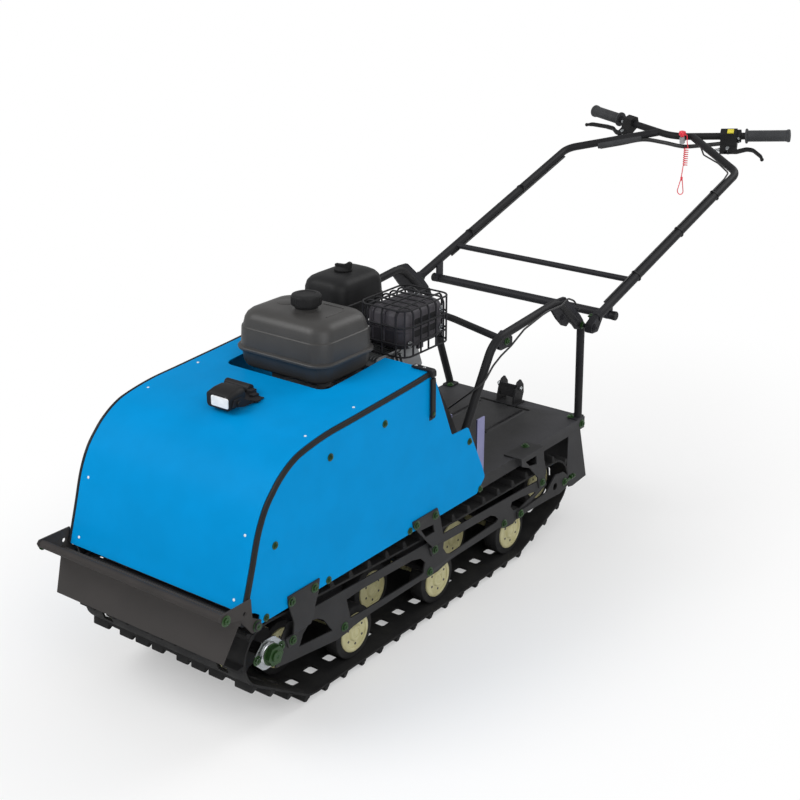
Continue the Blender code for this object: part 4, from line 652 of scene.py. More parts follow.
@dataclass
class Track:
    """Rubber track with its windows and cross lugs."""

    half_width: float = 250.0
    pitch: float = 67.5
    lug_height: float = 15.5
    belt: float = 5.5
    front: tuple[float, float] = (-534.0, 196.0)
    rear: tuple[float, float] = (641.0, 155.0)
    teeth: int = 7
    rear_radius: float = 69.0
    flat: tuple[float, float] = (-400.0, 474.0)
    bend: float = 68.0
    sag: float = 9.0
    window: tuple[float, float] = (165.0, 195.0)

    def front_radius(self) -> float:
        """Radius of the belt's inner face round the drive axle."""
        return self.teeth * self.pitch / (2 * math.pi) - self.belt / 2

    def arc(self, centre: Point, r: float, start: float, end: float, steps: int) -> list[Vector]:
        """Points on an arc, with angles in degrees from +Y towards +Z."""
        turns = [math.radians(start + (end - start) * k / steps) for k in range(steps + 1)]
        return [Vector((centre[0] + r * math.cos(t), centre[1] + r * math.sin(t))) for t in turns]

    def touch(self, centre: Point, r: float, point: Point, way: int) -> float:
        """Angle in degrees at which a line from a point touches a circle."""
        to = Vector(point) - Vector(centre)
        return math.degrees(math.atan2(to[1], to[0])) + way * math.degrees(math.acos(r / to.length))

    def line(self) -> list[Vector]:
        """Draws the belt's closed middle line in the side view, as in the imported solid.

        Returns:
            Its (along, height) points, from above the drive axle round the front.
        """
        half = self.belt / 2
        z = self.lug_height + half
        front_r, rear_r = self.front_radius() + half, self.rear_radius + half
        leave = self.touch(self.front, front_r, (self.flat[0], z), -1)
        arrive = self.touch(self.rear, rear_r, (self.flat[1], z), 1)
        path = self.arc(self.front, front_r, 90, leave + 360, 40)
        last = self.arc(self.rear, rear_r, arrive, arrive, 1)[0]
        path += rounded((path[-1], (self.flat[0], z), (self.flat[1], z), last), self.bend, 8)[1:-1]
        path += self.arc(self.rear, rear_r, arrive, 90, 40)
        top_front, top_rear = self.front[1] + self.front_radius() + half, self.rear[1] + rear_r
        for k in range(1, 30):
            t = 1 - k / 30
            droop = self.sag * math.sin(math.pi * t)
            y = self.front[0] + (self.rear[0] - self.front[0]) * t
            path.append(Vector((y, top_front + (top_rear - top_front) * t - droop)))
        return path

    @cached_property
    def walk(self) -> tuple[list[Vector], list[float]]:
        """Measures the middle line.

        Returns:
            Its points, and the distance from its start to each of them and back to the start.
        """
        path = self.line()
        marks = [0.0]
        for here, there in zip(path, path[1:] + path[:1]):
            marks.append(marks[-1] + (there - here).length)
        return path, marks

    def at(self, distance: float) -> tuple[Vector, Vector]:
        """Finds a place on the belt.

        Args:
            distance: how far it lies along the middle line.

        Returns:
            The place and the direction outwards.
        """
        path, marks = self.walk
        d = distance % marks[-1]
        low = max(i for i in range(len(path)) if marks[i] <= d)
        a, b = path[low], path[(low + 1) % len(path)]
        before, after = path[low - 1], path[(low + 2) % len(path)]
        t = (d - marks[low]) / max(marks[low + 1] - marks[low], 1e-9)
        way = (b - before).normalized().lerp((after - a).normalized(), t).normalized()
        return a.lerp(b, t), Vector((way[1], -way[0]))

    def belt_shape(self, start: float, pitch: float, count: int) -> Shape:
        """The band itself, with round-cornered windows in two rows.

        Args:
            start: distance along the line to the first lug.
            pitch: distance between lugs.
            count: number of lugs.

        Returns:
            Points and faces.
        """
        w0, w1 = self.window
        corner = 4.0
        half = [w0, w0 + corner, w1 - corner, w1, self.half_width]
        columns = [-x for x in reversed(half)] + half
        rows_of = (-7.0, 7.0, 7.0 + corner, 37.0 - corner, 37.0, 45.0, 53.0)
        rows = [start + k * pitch + r * pitch / self.pitch for k in range(count) for r in rows_of]
        n, wide = len(rows), len(columns)
        faces: list[list[tuple[int, int]]] = []
        for i in range(n):
            s, j = i % len(rows_of), (i + 1) % n
            for c in range(wide - 1):
                window_cell = s in (1, 2, 3) and c in (1, 2, 3, 5, 6, 7)
                quad = [(i, c), (i, c + 1), (j, c + 1), (j, c)]
                if not window_cell:
                    faces.append(quad)
                elif s in (1, 3) and c in (1, 3, 5, 7):
                    outer_column = c if c in (1, 5) else c + 1
                    inner_column = c + 1 if c in (1, 5) else c
                    near, far = (i, j) if s == 1 else (j, i)
                    faces.append([(near, outer_column), (near, inner_column), (far, outer_column)])
        used: dict[frozenset, int] = {}
        for f in faces:
            for a, b in zip(f, f[1:] + f[:1]):
                used[frozenset((a, b))] = used.get(frozenset((a, b)), 0) + 1
        spots = [self.at(d) for d in rows]
        verts = []
        for depth in (-self.belt / 2, self.belt / 2):
            for p, out in spots:
                q = p + out * depth
                verts += [Vector((x, q[0], q[1])) for x in columns]
        solid = [[i * wide + c for i, c in f] for f in faces]
        solid += [[i + n * wide for i in f] for f in list(solid)]
        for pair, times in used.items():
            if times == 1:
                (i0, c0), (i1, c1) = tuple(pair)
                a, b = i0 * wide + c0, i1 * wide + c1
                solid.append([a, b, b + n * wide, a + n * wide])
        keep = sorted({i for f in solid for i in f})
        number = {old: new for new, old in enumerate(keep)}
        return [verts[i] for i in keep], [[number[i] for i in f] for f in solid]

    def lug(self, spans: Iterable[tuple[float, float]]) -> Shape:
        """One cross lug along X that stands on +Z: a low rib and tall tapered blocks.

        Args:
            spans: where each tall block starts and ends across the track.

        Returns:
            Points and faces.
        """
        h = self.lug_height
        rib = plate(Axis.X, ((-9, -1), (9, -1), (6, 5), (-6, 5)), -self.half_width, self.half_width)
        shapes = [rib]
        for a, b in spans:
            levels = ((-1.0, 8.5, 0.0), (5.0, 7.0, 1.0), (h - 2.0, 4.4, 3.0), (h, 3.2, 4.2))
            shapes.append(skin([[Vector((x, y, z)) for x, y in corners(a + i, b - i, -t, t)]
                                for z, t, i in levels]))
        return joined(*shapes)

    def build(self) -> None:
        """Makes the belt and both patterns of lugs."""
        length = self.walk[1][-1]
        count = round(length / self.pitch)
        pitch = length / count
        start = length / 2
        while self.at(start)[0][0] > 0 or self.at(start)[0][1] > self.lug_height + self.belt:
            start -= 0.5
        band = self.belt_shape(start, pitch, count)
        SHOP.piece("track_belt", band, TRACK_RUBBER, "base", ("track",), smooth=25)
        w = self.half_width
        patterns = (((-w, -197), (-163, -129), (-121, -88), (-62, -24), (-16, 21), (29, 62), (88, 122),
                     (130, 163), (197, w)),
                    ((-w, -197), (-163, -119), (-111, -66), (-58, -20), (20, 58), (66, 111), (119, 163),
                     (197, w)))
        for half, spans in enumerate(patterns):
            spots = []
            for k in range(half, count, 2):
                p, out = self.at(start + k * pitch)
                base = p + out * (self.belt / 2)
                spots.append(((0.0, base[0], base[1]), (math.atan2(-out[0], out[1]), 0.0, 0.0)))
            COPIES.place(f"track_lugs_{half + 1}", self.lug(spans), spots, TRACK_RUBBER, smooth=25)


@dataclass
class Wheels:
    """Road wheels, rear wheels, toothed wheels and the frame that carries them.

    The drive axle carries painted shade: its flat faces and everything within the boss radius are coloured
    black, and only its teeth beyond stay cream.
    """

    radius: float = 66.5
    width: float = 40.0
    disc: float = 47.0
    axle: float = 10.0
    height: float = 88.0
    outer_x: float = 208.0
    inner_x: float = 112.0
    sprocket: tuple[float, float] = (-534.0, 196.0)
    # radius inside which the drive axle's faces get black painted shade
    boss: float = 36.0

    def tyre(self, x: float) -> list[Point]:
        """Profile of one tyre."""
        h, r = self.width / 2, self.radius
        return [(x - h, self.disc + 1), (x - h, r - 3), (x - h + 1, r - 1), (x - h + 3, r), (x + h - 3, r),
                (x + h - 1, r - 1), (x + h, r - 3), (x + h, self.disc + 1)]

    def hub(self, x: float) -> list[Point]:
        """Profile of one wheel's moulded disc, with its rings."""
        h, d = self.width / 2, self.disc
        return [(x - h - 1, self.axle), (x - h - 1, d + 2), (x + h + 1, d + 2), (x + h + 3, d + 1.5),
                (x + h + 5, d - 2), (x + h + 5.5, d - 5), (x + h + 5, d - 9), (x + h + 2.5, d - 10),
                (x + h + 2.5, 21), (x + h + 4.5, 20), (x + h + 7, 17), (x + h + 7, 12.5), (x + h + 5, 11.5),
                (x + h + 5, self.axle)]

    def pair(self, node: str, x: float, y: float, z: float) -> None:
        """Makes two wheels on their axle in place of a node.

        Args:
            node: the node's name.
            x: distance of each wheel from the machine's middle.
            y: the axle's place along the machine.
            z: the axle's height.
        """
        body = body_of(node)
        hubs = both(turned(Axis.X, (y, z), self.hub(x), 56))
        tyres = both(turned(Axis.X, (y, z), self.tyre(x), 56))
        SHOP.piece(f"{node}_discs", hubs, NYLON, body, (node,), smooth=28)
        SHOP.piece(f"{node}_tyres", tyres, TRACK_RUBBER, body, smooth=28)
        end = x + self.width / 2
        ends = ((-end - 5.6, 8), (-end - 5, self.axle - 1), (end + 5, self.axle - 1), (end + 5.6, 8))
        SHOP.piece(f"{node}_shaft", turned(Axis.X, (y, z), ends, 24), NYLON, body)
        dimple = turned(Axis.Z, (0, 0), ((2.0, 3.2), (3.0, 3.2), (3.4, 2.4)), 12)
        ring = [(y + a, z + b) for a, b in polygon(6, 29, 0.5)]
        spots = [spot for side, _ in SIDES for spot in outward(side, end, ring)]
        COPIES.place(f"{node}_rivets", dimple, spots, HOT_STEEL, body)

    def drive(self) -> None:
        """Dresses the toothed wheels and their axle, paints shade in black on the axle's flat faces and
        middle, and adds the axle's large nuts.
        """
        y, z = self.sprocket
        axle = SHOP.dressed("drive_axle", NYLON, 1.0)
        # painted shade: the axle's flat faces and its middle within the boss radius are given the black
        # plastic; only the rims of its teeth stay cream
        axle.data.materials.append(BLACK_PLASTIC_AND_SHADE.material())
        for face in axle.data.polygons:
            reach = math.hypot(face.center.y - y * MM, face.center.z - z * MM)
            face.material_index = 0 if abs(face.normal.x) < 0.5 and reach > self.boss * MM else 1
        SHOP.dressed("suspension_frame", BLACK_COAT, 1.0)
        hexagon = plate(Axis.X, [(y + a, z + b) for a, b in polygon(6, 24)], 261.5, 273)
        washer = turned(Axis.X, (y, z), ((258.8, 25), (259, 26), (261, 26), (261.6, 24)), 40)
        stub = turned(Axis.X, (y, z), ((272, 13), (277, 13), (278, 11.5), (278, 4), (276, 3.4)), 32)
        nuts = both(joined(hexagon, washer, stub))
        SHOP.piece("axle_nuts", nuts, GREEN_BOLT, "drive_axle", bevel=0.9, smooth=28)

    def build(self) -> None:
        """Makes every wheel, the toothed wheels and the frame."""
        for i in range(3):
            self.pair(f"outer_wheels_{i + 1}", self.outer_x, -213 + 333.5 * i, self.height)
            self.pair(f"inner_wheels_{i + 1}", self.inner_x, -371 + 346.5 * i, self.height)
        self.pair("rear_wheels", 175.0, 641.0, 155.0)
        self.drive()


@dataclass
class Undercarriage:
    """Side plates, brackets, bearings and their screws."""

    plate_x: float = 248.5
    bracket_x: float = 274.3
    stud_x: float = 256.5

    def build(self) -> None:
        """Dresses the plates and adds washers and green screws."""
        for side, name in SIDES:
            SHOP.dressed(f"side_plate_{name}", PLATE_COAT, 0.7)
            SHOP.dressed(f"axle_bearing_{name}", ZINC, 0.8)
            SHOP.dressed(f"tension_arm_{name}", PLATE_COAT, 0.7)
            rows = ((self.plate_x, ((-273, 138), (60.5, 138), (394, 138))),
                    (252.5, ((-457, 192), (76, 194), (574, 192))),
                    (self.bracket_x, ((-481, 306), (-404, 306), (-30, 309), (46, 306))),
                    (251.8, ((-573, 196), (-495, 196))),
                    (254.3, ((466, 141), (690, 152))))
            spots = [spot for x, places in rows for spot in outward(side, x, places)]
            spots += upward((side * 218, 536, FOOT_TOP))
            COPIES.place(f"plate_screws_{name}", screw(), spots, GREEN_BOLT)
            stud = pipe(((side * self.stud_x, 700, 152), (side * self.stud_x, 742, 156)), 3.4, 12)
            nuts = [plate(Axis.Y, [(side * self.stud_x + a, 156 + b) for a, b in polygon(6, 7)], y, y + 7)
                    for y in (718, 729)]
            SHOP.piece(f"tension_stud_{name}", joined(stud, *nuts), GREEN_BOLT, bevel=0.3)


@dataclass
class Hood:
    """Blue hood with its edge strips, side panels, rivets, latches and lamp."""

    profile: tuple = ((-626, 340), (-598, 428), (-576, 499), (-550, 551), (-520, 586), (-495, 608),
                      (-462, 628), (-425, 641), (-345, 654), (-247, 660), (-55, 672), (40, 680))
    half: float = 262.0
    sheet: float = 3.0
    panel: float = 270.0
    hinge: tuple[float, float] = (-598.0, 303.0)

    def curve(self) -> list[Vector]:
        """The hood's outer line in the side view, made smooth."""
        return smoothed(self.profile, 6)

    def band(self, outer: float, inner: float) -> list[Vector]:
        """Outline between two depths under the hood's outer line."""
        line = with_normals(self.curve())
        return [p + down * outer for p, down in line] + [p + down * inner for p, down in reversed(line)]

    def notched(self) -> None:
        """Makes the bent sheet with the tank's opening and its two arms."""
        bent = plate(Axis.X, self.band(0, self.sheet), -self.half, self.half)
        whole = bpy.data.objects.new("hood_skin", SHOP.mesh("hood_skin", bent))
        opening = plate(Axis.Z, rounded(((-184, 90), (-184, -184), (126, -184), (126, 90)), 25, 8), 640, 700)
        cutter = bpy.data.objects.new("hood_notch", SHOP.mesh("hood_notch", opening))
        cut = whole.modifiers.new("notch", "BOOLEAN")
        cut.operation = "DIFFERENCE"
        cut.object = cutter
        sheet = bpy.data.objects.new("hood_sheet_dressed", SHOP.baked(whole, cutter))
        SHOP.finish(sheet, BLUE_PAINT, "hood", ("hood_sheet",), 0.8, 30.0)
        y, z = self.hinge
        arm = plate(Axis.X, rounded(((y + 15, z), (y + 9, z - 13), (y - 9, z - 13), (y - 16, z), (-624, 342),
                                     (-618, 352), (-611, 350)), 4, 3, True), 241, 246)
        SHOP.piece("hood_arms", both(arm), BLACK_COAT, "hood", bevel=0.6)

    def side_panel(self, side: int, name: str) -> None:
        """Makes one side panel with its latch keeper and screws.

        Args:
            side: 1 for the right panel, -1 for the left one.
            name: the side's name.
        """
        top = self.band(12.3, 14)[:len(self.curve())]
        y, z = self.hinge
        front = [Vector(p) for p in ((y + 6, z + 24), (y + 20, z + 14), (y + 20, 293), (230, 293))]
        tail = rounded(((244, 293), (265, 329), (252, 361), (187, 488), (118, 490), (73, 597), (44, 664)),
                       12, 4)
        shape = plate(Axis.X, top[::-1] + front + tail[1:], self.panel - self.sheet, self.panel)
        SHOP.stand_in(f"side_panel_{name}", handed(shape, side), BLUE_PAINT, 0.7, 30.0)
        keeper = handed(block(269, 271.2, 24, 36, 558, 571.7), side)
        SHOP.piece(f"latch_keeper_{name}", keeper, BLACK_COAT, bevel=0.6)
        places = ((-558, 301), (-523, 457), (-338, 593), (-146, 607), (-352, 301), (-51, 301), (193, 448),
                  (244, 301))
        spots = outward(side, self.panel, places)
        COPIES.place(f"panel_screws_{name}", screw(6.2, 4.6, 9.0), spots, GREEN_BOLT)

    def edge(self, side: int, name: str) -> None:
        """Makes one rounded black strip with its latch plate, and the strap.

        Args:
            side: 1 for the right edge, -1 for the left one.
            name: the side's name.
        """
        section = rounded(corners(262.3, 272, 0, 11.5), 3.5, 4, True)
        rings = [[Vector((side * a, *(p + down * b))) for a, b in section]
                 for p, down in with_normals(self.curve())]
        SHOP.piece(f"hood_edge_{name}", skin(rings), BLACK_COAT, "hood", (f"hood_trim_{name}",), smooth=40)
        cap = rounded(((218, 681), (272.6, 681), (272.6, 667), (280, 667), (280, 686), (218, 686)), 8, 5,
                      True)
        hook = joined(plate(Axis.Y, cap, 22, 38), block(272.5, 279.5, 28, 32, 658, 672),
                      turned(Axis.Y, (276, 662), ((21.5, 2), (38.5, 2)), 16))
        SHOP.piece(f"latch_plate_{name}", handed(hook, side), BLACK_COAT, "hood", bevel=0.8)
        latch = f"hood_latch_{name}"
        strap = plate(Axis.X, rounded(corners(22, 38, 665.5, 564), 7.6, 6, True), 273.2, 279.2)
        SHOP.stand_in(latch, handed(strap, side), BLACK_PLASTIC_AND_SHADE, bevel=1.6)
        stud = turned(Axis.X, (30, 577), ((278.6, 4.5), (280.4, 4.5), (281.2, 3.4), (281.4, 1)), 18)
        SHOP.piece(f"latch_stud_{name}", handed(stud, side), GREEN_BOLT, body_of(latch), smooth=40)
        rivet = turned(Axis.Z, (0, 0), ((-1, 4), (0.6, 4), (1.8, 2.6), (2.2, 1)), 16)
        spots = upward((side * 226, 30, 685.6), (side * 250, 30, 685.6))
        COPIES.place(f"latch_rivets_{name}", rivet, spots, ZINC, "hood")

    def rivets(self) -> None:
        """Adds the pale rivets near the hood's edges."""
        dome = turned(Axis.Z, (0, 0), ((-1, 3.3), (0.4, 3.3), (1.1, 2.7), (1.6, 1.6), (1.8, 0.6)), 18)
        places = ((-619.5, 360, 1.25), (-578, 493, 1.27), (-381, 648.5, 0.14), (-217, 662, 0.06))
        spots = [((side * 238, y, z), (lean, 0.0, 0.0)) for side, _ in SIDES for y, z, lean in places]
        COPIES.place("hood_rivets", dome, spots, WHITE_RIVET, "hood")

    def lamp(self) -> None:
        """Makes the lamp, its bracket, its lens and its pivots."""
        cheek = plate(Axis.X, ((-392, 668), (-386, 684), (-362, 684), (-330, 664), (-320, 660),
                               (-352, 658.5)), 36, 39)
        foot = block(-62, 40, -336, -290, 659.4, 662.0)
        roller = turned(Axis.X, (-285, 670), ((-80, 8), (-79, 10.5), (-5, 10.5), (-4, 8)), 28)
        steps = joined(block(-4, 10, -300, -282, 660, 673), block(10, 24, -308, -290, 660, 668),
                       plate(Axis.Z, ((20, -330), (44, -322), (46, -308), (24, -296)), 659.4, 664))
        SHOP.stand_in("headlamp_bracket", joined(both(cheek), foot, roller, steps), BLACK_COAT, bevel=0.8)
        levels = ((-397, 33.5, 660, 692, 7), (-395.5, 35.5, 658.4, 694, 9), (-376, 36.3, 658.4, 700, 12),
                  (-354, 36.3, 664, 702, 14), (-344, 33, 668, 700, 13), (-340, 24, 674, 694, 9))
        rings = [[Vector((p[0], y, p[1])) for p in rounded(corners(-x, x, low, high), r, 6, True)]
                 for y, x, low, high, r in levels]
        SHOP.stand_in("headlamp_body", skin(rings), BLACK_PLASTIC_AND_SHADE, smooth=40)
        glass = plate(Axis.Y, rounded(corners(-19, 32, 664.5, 688.5), 4, 5, True), -399.6, -396.4)
        SHOP.stand_in("headlamp_lens", glass, LENS, bevel=1.0)
        knob = turned(Axis.X, (-374, 674), ((35.8, 7), (37, 7), (37, 4), (43, 4), (43, 6.5), (46, 6)), 20)
        SHOP.piece("headlamp_pivots", both(knob), BLACK_PLASTIC_AND_SHADE, "hood", smooth=28)

    def build(self) -> None:
        """Makes the whole hood."""
        self.notched()
        for side, name in SIDES:
            self.side_panel(side, name)
        for side, name in SIDES:
            self.edge(side, name)
        self.rivets()
        self.lamp()


@dataclass
class Body:
    """Floor, deck, front bar, rear guard and tow hitch."""

    bar: tuple[float, float] = (-694.0, 362.0)
    bar_radius: float = 9.3
    bar_half: float = 279.0
    ribs_x: tuple[float, float] = (-70.0, 70.0)

    def build(self) -> None:
        """Dresses the plates and adds the front bar, screws and deck ribs."""
        for node, finish, bevel in (("chassis", PLATE_COAT, 0.9), ("bumper", GUARD_COAT, 0.9),
                                    ("rear_guard", PLATE_COAT, 0.8), ("hitch_body", BLACK_COAT, 0.8),
                                    ("hitch_pin", ZINC, 0.6)):
            SHOP.dressed(node, finish, bevel)
        ends = [(s * (self.bar_half + e), self.bar_radius - d) for s, e, d in
                ((-1, 0.8, 1.3), (-1, 0, 0), (1, 0, 0), (1, 0.8, 1.3))]
        SHOP.piece("front_bar_skin", turned(Axis.X, self.bar, ends, 32), GUARD_COAT, smooth=40)
        places = ((279.5, -688, 356), (280.5, -598, 303), (232, 810, 282))
        spots = [spot for side, _ in SIDES for x, y, z in places for spot in outward(side, x, ((y, z),))]
        COPIES.place("body_screws", screw(8.4, 6.6, 12.5), spots, GREEN_BOLT)
        ribs = [plate(Axis.Y, ((x - 10, 298.6), (x - 5, 302), (x + 5, 302), (x + 10, 298.6)), 559, 751)
                for x in self.ribs_x]
        SHOP.piece("deck_ribs", joined(*ribs), PLATE_COAT, bevel=1.0)


@dataclass
class Engine:
    """Engine with its tank, air cleaner, muffler and belt drive."""

    crank: tuple[float, float] = (10.0, 520.0)
    tank_box: tuple[float, float, float, float] = (-170.0, 118.0, -178.0, 40.0)
    cap_at: tuple[float, float] = (-15.0, -75.0)
    cleaner_box: tuple[float, float, float, float] = (-186.0, -46.0, 90.0, 280.0)
    muffler_box: tuple[float, float, float, float] = (18.0, 142.0, 98.0, 266.0)
    guard_box: tuple[float, float, float, float] = (8.5, 151.5, 88.5, 275.5)
    guard_low: float = 666.5
    guard_high: float = 783.0
    guard_corner: float = 28.0
    wire: float = 2.5

    def tank(self) -> None:
        """Makes the pressed tank, its seam, neck and screw cap."""
        levels = ((655, 34, 24), (658, 26, 28), (664, 18, 32), (676, 12, 38), (703, 8, 44), (704, 1, 48),
                  (706, 0, 48), (710, 0, 48), (711.5, 1, 48), (713.5, 6, 46), (757, 8, 46), (759, 8.6, 46),
                  (761, 10.6, 46), (779, 14, 46), (789, 19, 44), (796, 27, 40), (800.5, 39, 34),
                  (802.4, 50, 28), (803, 60, 24))
        SHOP.stand_in("fuel_tank", soft_loft(self.tank_box, levels, 10), TANK_ENAMEL, smooth=24)
        neck = turned(Axis.Z, self.cap_at, ((798, 36), (803, 35), (804.5, 31), (805.5, 27.5), (808, 27.5)),
                      40)
        boss = turned(Axis.Z, (-88, -62), ((800, 24), (803.4, 23), (804, 21.5)), 40)
        bead = pipe(rounded(((-10, -20, 802.4), (62, -20, 802.4), (62, -96, 802.4)), 14, 6), 1.8, 10)
        SHOP.piece("tank_neck", joined(neck, boss, bead), TANK_ENAMEL, smooth=45)
        x, y = self.cap_at
        profile = ((808.3, 27.6), (809, 28.5), (814, 28.5), (815, 34), (816.5, 36), (836, 36), (839.5, 34),
                   (841, 30), (841.4, 24), (840, 22), (840, 8))
        skirt = turned(Axis.Z, self.cap_at, profile, 56)
        SHOP.stand_in("fuel_cap", skirt, BLACK_PLASTIC_AND_SHADE, smooth=30)
        rib = block(-0.9, 0.9, 34.5, 36.5, -9, 9)
        spots = [((x, y, 826), (0.0, 0.0, 2 * math.pi * k / 36)) for k in range(36)]
        COPIES.place("fuel_cap_ribs", rib, spots, BLACK_PLASTIC_AND_SHADE, "fuel_cap")

    def cleaner(self) -> None:
        """Makes the air cleaner's base, domed cover and wing knob."""
        x0, x1, y0, y1 = self.cleaner_box
        levels = ((690, 16, 20), (693, 8, 26), (700, 1, 30), (741, 0, 30), (743.7, 0, 30))
        base = soft_loft((x0 + 6, x1 - 6, y0 + 6, y1 - 6), levels, 10)
        SHOP.stand_in("air_cleaner_base", base, BLACK_PLASTIC_AND_SHADE, smooth=40)
        levels = ((744, 1, 33), (745, 0, 34), (752, 0, 34), (754, 2.5, 32), (786, 4, 32), (800, 7, 34),
                  (808, 13, 34), (814, 24, 30), (816.5, 38, 22), (817, 52, 10))
        SHOP.stand_in("air_cleaner_cover", soft_loft(self.cleaner_box, levels, 10), BLACK_PLASTIC_AND_SHADE, smooth=40)
        x, y = (x0 + x1) / 2, (y0 + y1) / 2
        foot = turned(Axis.Z, (x, y), ((817.5, 21), (818, 23), (823, 23), (826, 19), (827, 12)), 40)
        outline = rounded(((-25, 824), (25, 824), (28, 841), (19, 843), (6, 834), (-24, 832)), 3, 4, True)
        wing = plate(Axis.Y, [(x + p[0], p[1]) for p in outline], y - 4, y + 4)
        SHOP.stand_in("air_cleaner_knob", joined(foot, wing), BLACK_PLASTIC_AND_SHADE, bevel=1.2)

    def muffler(self) -> None:
        """Makes the muffler's can with its seams, recess and bolts."""
        levels = ((676, 16, 20), (679, 8, 24), (686, 2, 28), (692, 0, 30), (722, 0, 30), (724, -1.5, 30),
                  (728, -1.5, 30), (730, 0, 30), (760, 0, 30), (768, 4, 28), (773, 12, 24), (774, 24, 16))
        outlet = turned(Axis.Z, (76, 164), ((664.2, 13.5), (678, 13.5)), 28)
        lines = [((x, 97.5, 694), (x, 97.5, 770), (x, 112, 773.4), (x, 246, 773.4)) for x in (46, 80, 114)]
        seams = [pipe(rounded(line, 12, 5), 2.6, 10) for line in lines]
        can = joined(soft_loft(self.muffler_box, levels), outlet, *seams)
        SHOP.piece("muffler_can", can, HOT_STEEL, "base", ("muffler",), smooth=40)
        recess = plate(Axis.X, rounded(corners(134, 228, 706, 752), 8, 4, True), 141.6, 142.6)
        SHOP.piece("muffler_recess", recess, BLACK_COAT, bevel=0.3)
        spots = outward(1, 142.4, ((118, 694), (246, 704), (246, 752))) + upward((66.0, 246.0, 774.0))
        COPIES.place("muffler_bolts", screw(5.4, 4.4, 8.0), spots, ZINC)

    def guard(self) -> None:
        """Makes the wire guard round the muffler, and its spacers."""
        x0, x1, y0, y1 = self.guard_box
        low, high, wide = self.guard_low, self.guard_high, self.guard_corner
        loop = rounded(corners(*self.guard_box), wide, 5, True)
        wires = [pipe([(p[0], p[1], z) for p in loop], self.wire, 8, True) for z in (low, 697, 740, high)]
        bows = [((x, y0, low), (x, y0, high), (x, y1, high), (x, y1, low)) for x in (37, 80, 123)]
        bows += [((x0, y, low), (x0, y, high), (x1, y, high), (x1, y, low)) for y in range(120, 245, 31)]
        wires += [pipe(rounded(bow, 16, 4), self.wire, 8) for bow in bows]
        inset = wide * (1 - math.sqrt(0.5))
        wires += [pipe(((x, y, low), (x, y, high)), self.wire, 8) for x, y in corners(*self.guard_box, inset)]
        SHOP.piece("muffler_guard_wires", joined(*wires), BLACK_COAT, "base", ("muffler_guard",), smooth=50)
        spacers = joined(*(block(x, x + 8, 172, 192, 664, 675.7) for x in (121, 31)))
        SHOP.piece("guard_spacers", spacers, HOT_STEEL, bevel=0.5)

    def block_details(self) -> None:
        """Dresses the engine block and adds fins, covers, plug and carburettor."""
        SHOP.dressed("engine_stand", BLACK_COAT, 0.8)
        SHOP.dressed("engine_block", CAST_ALLOY, 1.6)
        y, z = self.crank
        outline = ((y + 60, 545), (y + 190, 600), (y + 212, 640), (y + 190, 664), (y + 40, 664))
        fin = plate(Axis.X, rounded(outline, 14, 4, True), -1.2, 1.2)
        spots = upward(*((x, 0.0, 0.0) for x in range(-74, 90, 9)))
        COPIES.place("cylinder_fins", fin, spots, CAST_ALLOY, smooth=30)
        cover = turned(Axis.X, (y, z), ((-150, 34), (-153, 60), (-151, 78), (-148, 82), (-141, 88),
                                        (-130, 92.6), (-104, 92.6)), 56)
        SHOP.piece("starter_cover", cover, BLACK_PLASTIC_AND_SHADE, smooth=35)
        slot = block(-1.2, 0.6, -2.2, 2.2, -15, 15)
        ring = [((-152.6, y + 66 * math.sin(a), z + 66 * math.cos(a)), (-a, 0.0, 0.0))
                for a in (2 * math.pi * k / 16 for k in range(16))]
        COPIES.place("starter_slots", slot, ring, HOT_STEEL)
        plug = turned(Axis.Y, (0, 628), ((222, 8), (236, 8), (237, 11), (246, 11), (247, 6), (256, 6)), 20)
        SHOP.piece("spark_plug", plug, BLACK_PLASTIC_AND_SHADE, smooth=30)
        throat = turned(Axis.Y, (-59, 620), ((196, 17), (214, 17)), 24)
        carb = joined(block(-78, -40, 150, 196, 600, 640), throat)
        SHOP.piece("carburettor", carb, CAST_ALLOY, bevel=2.0)
        lead = smoothed(((0, 254, 628), (0, 268, 640), (-20, 266, 660), (-60, 246, 672), (-104, 190, 668),
                         (-108, 130, 640)), 6)
        SHOP.piece("spark_lead", pipe(lead, 3.2, 12), CABLE_SHEATH, smooth=50)
        SHOP.dressed("recoil_handle", BLACK_PLASTIC_AND_SHADE, 2.5)

    def drive(self) -> None:
        """Dresses the belt drive and its guard, and adds the small brackets beside them."""
        for node, finish in (("drive_clutch", ZINC), ("cross_shaft", ZINC), ("drive_belt", TRACK_RUBBER),
                             ("belt_guard", BLACK_COAT)):
            SHOP.dressed(node, finish, 1.0)
        SHOP.piece("throttle_bar", block(176, 216, 188, 196, 493, 506), LILAC_STEEL, bevel=1.5)
        SHOP.piece("deck_bracket", block(214, 219, 303, 336, 299.4, 456), LILAC_STEEL, bevel=1.0)

    def build(self) -> None:
        """Makes the engine and all that stands on it."""
        self.tank()
        self.cleaner()
        self.muffler()
        self.guard()
        self.block_details()
        self.drive()


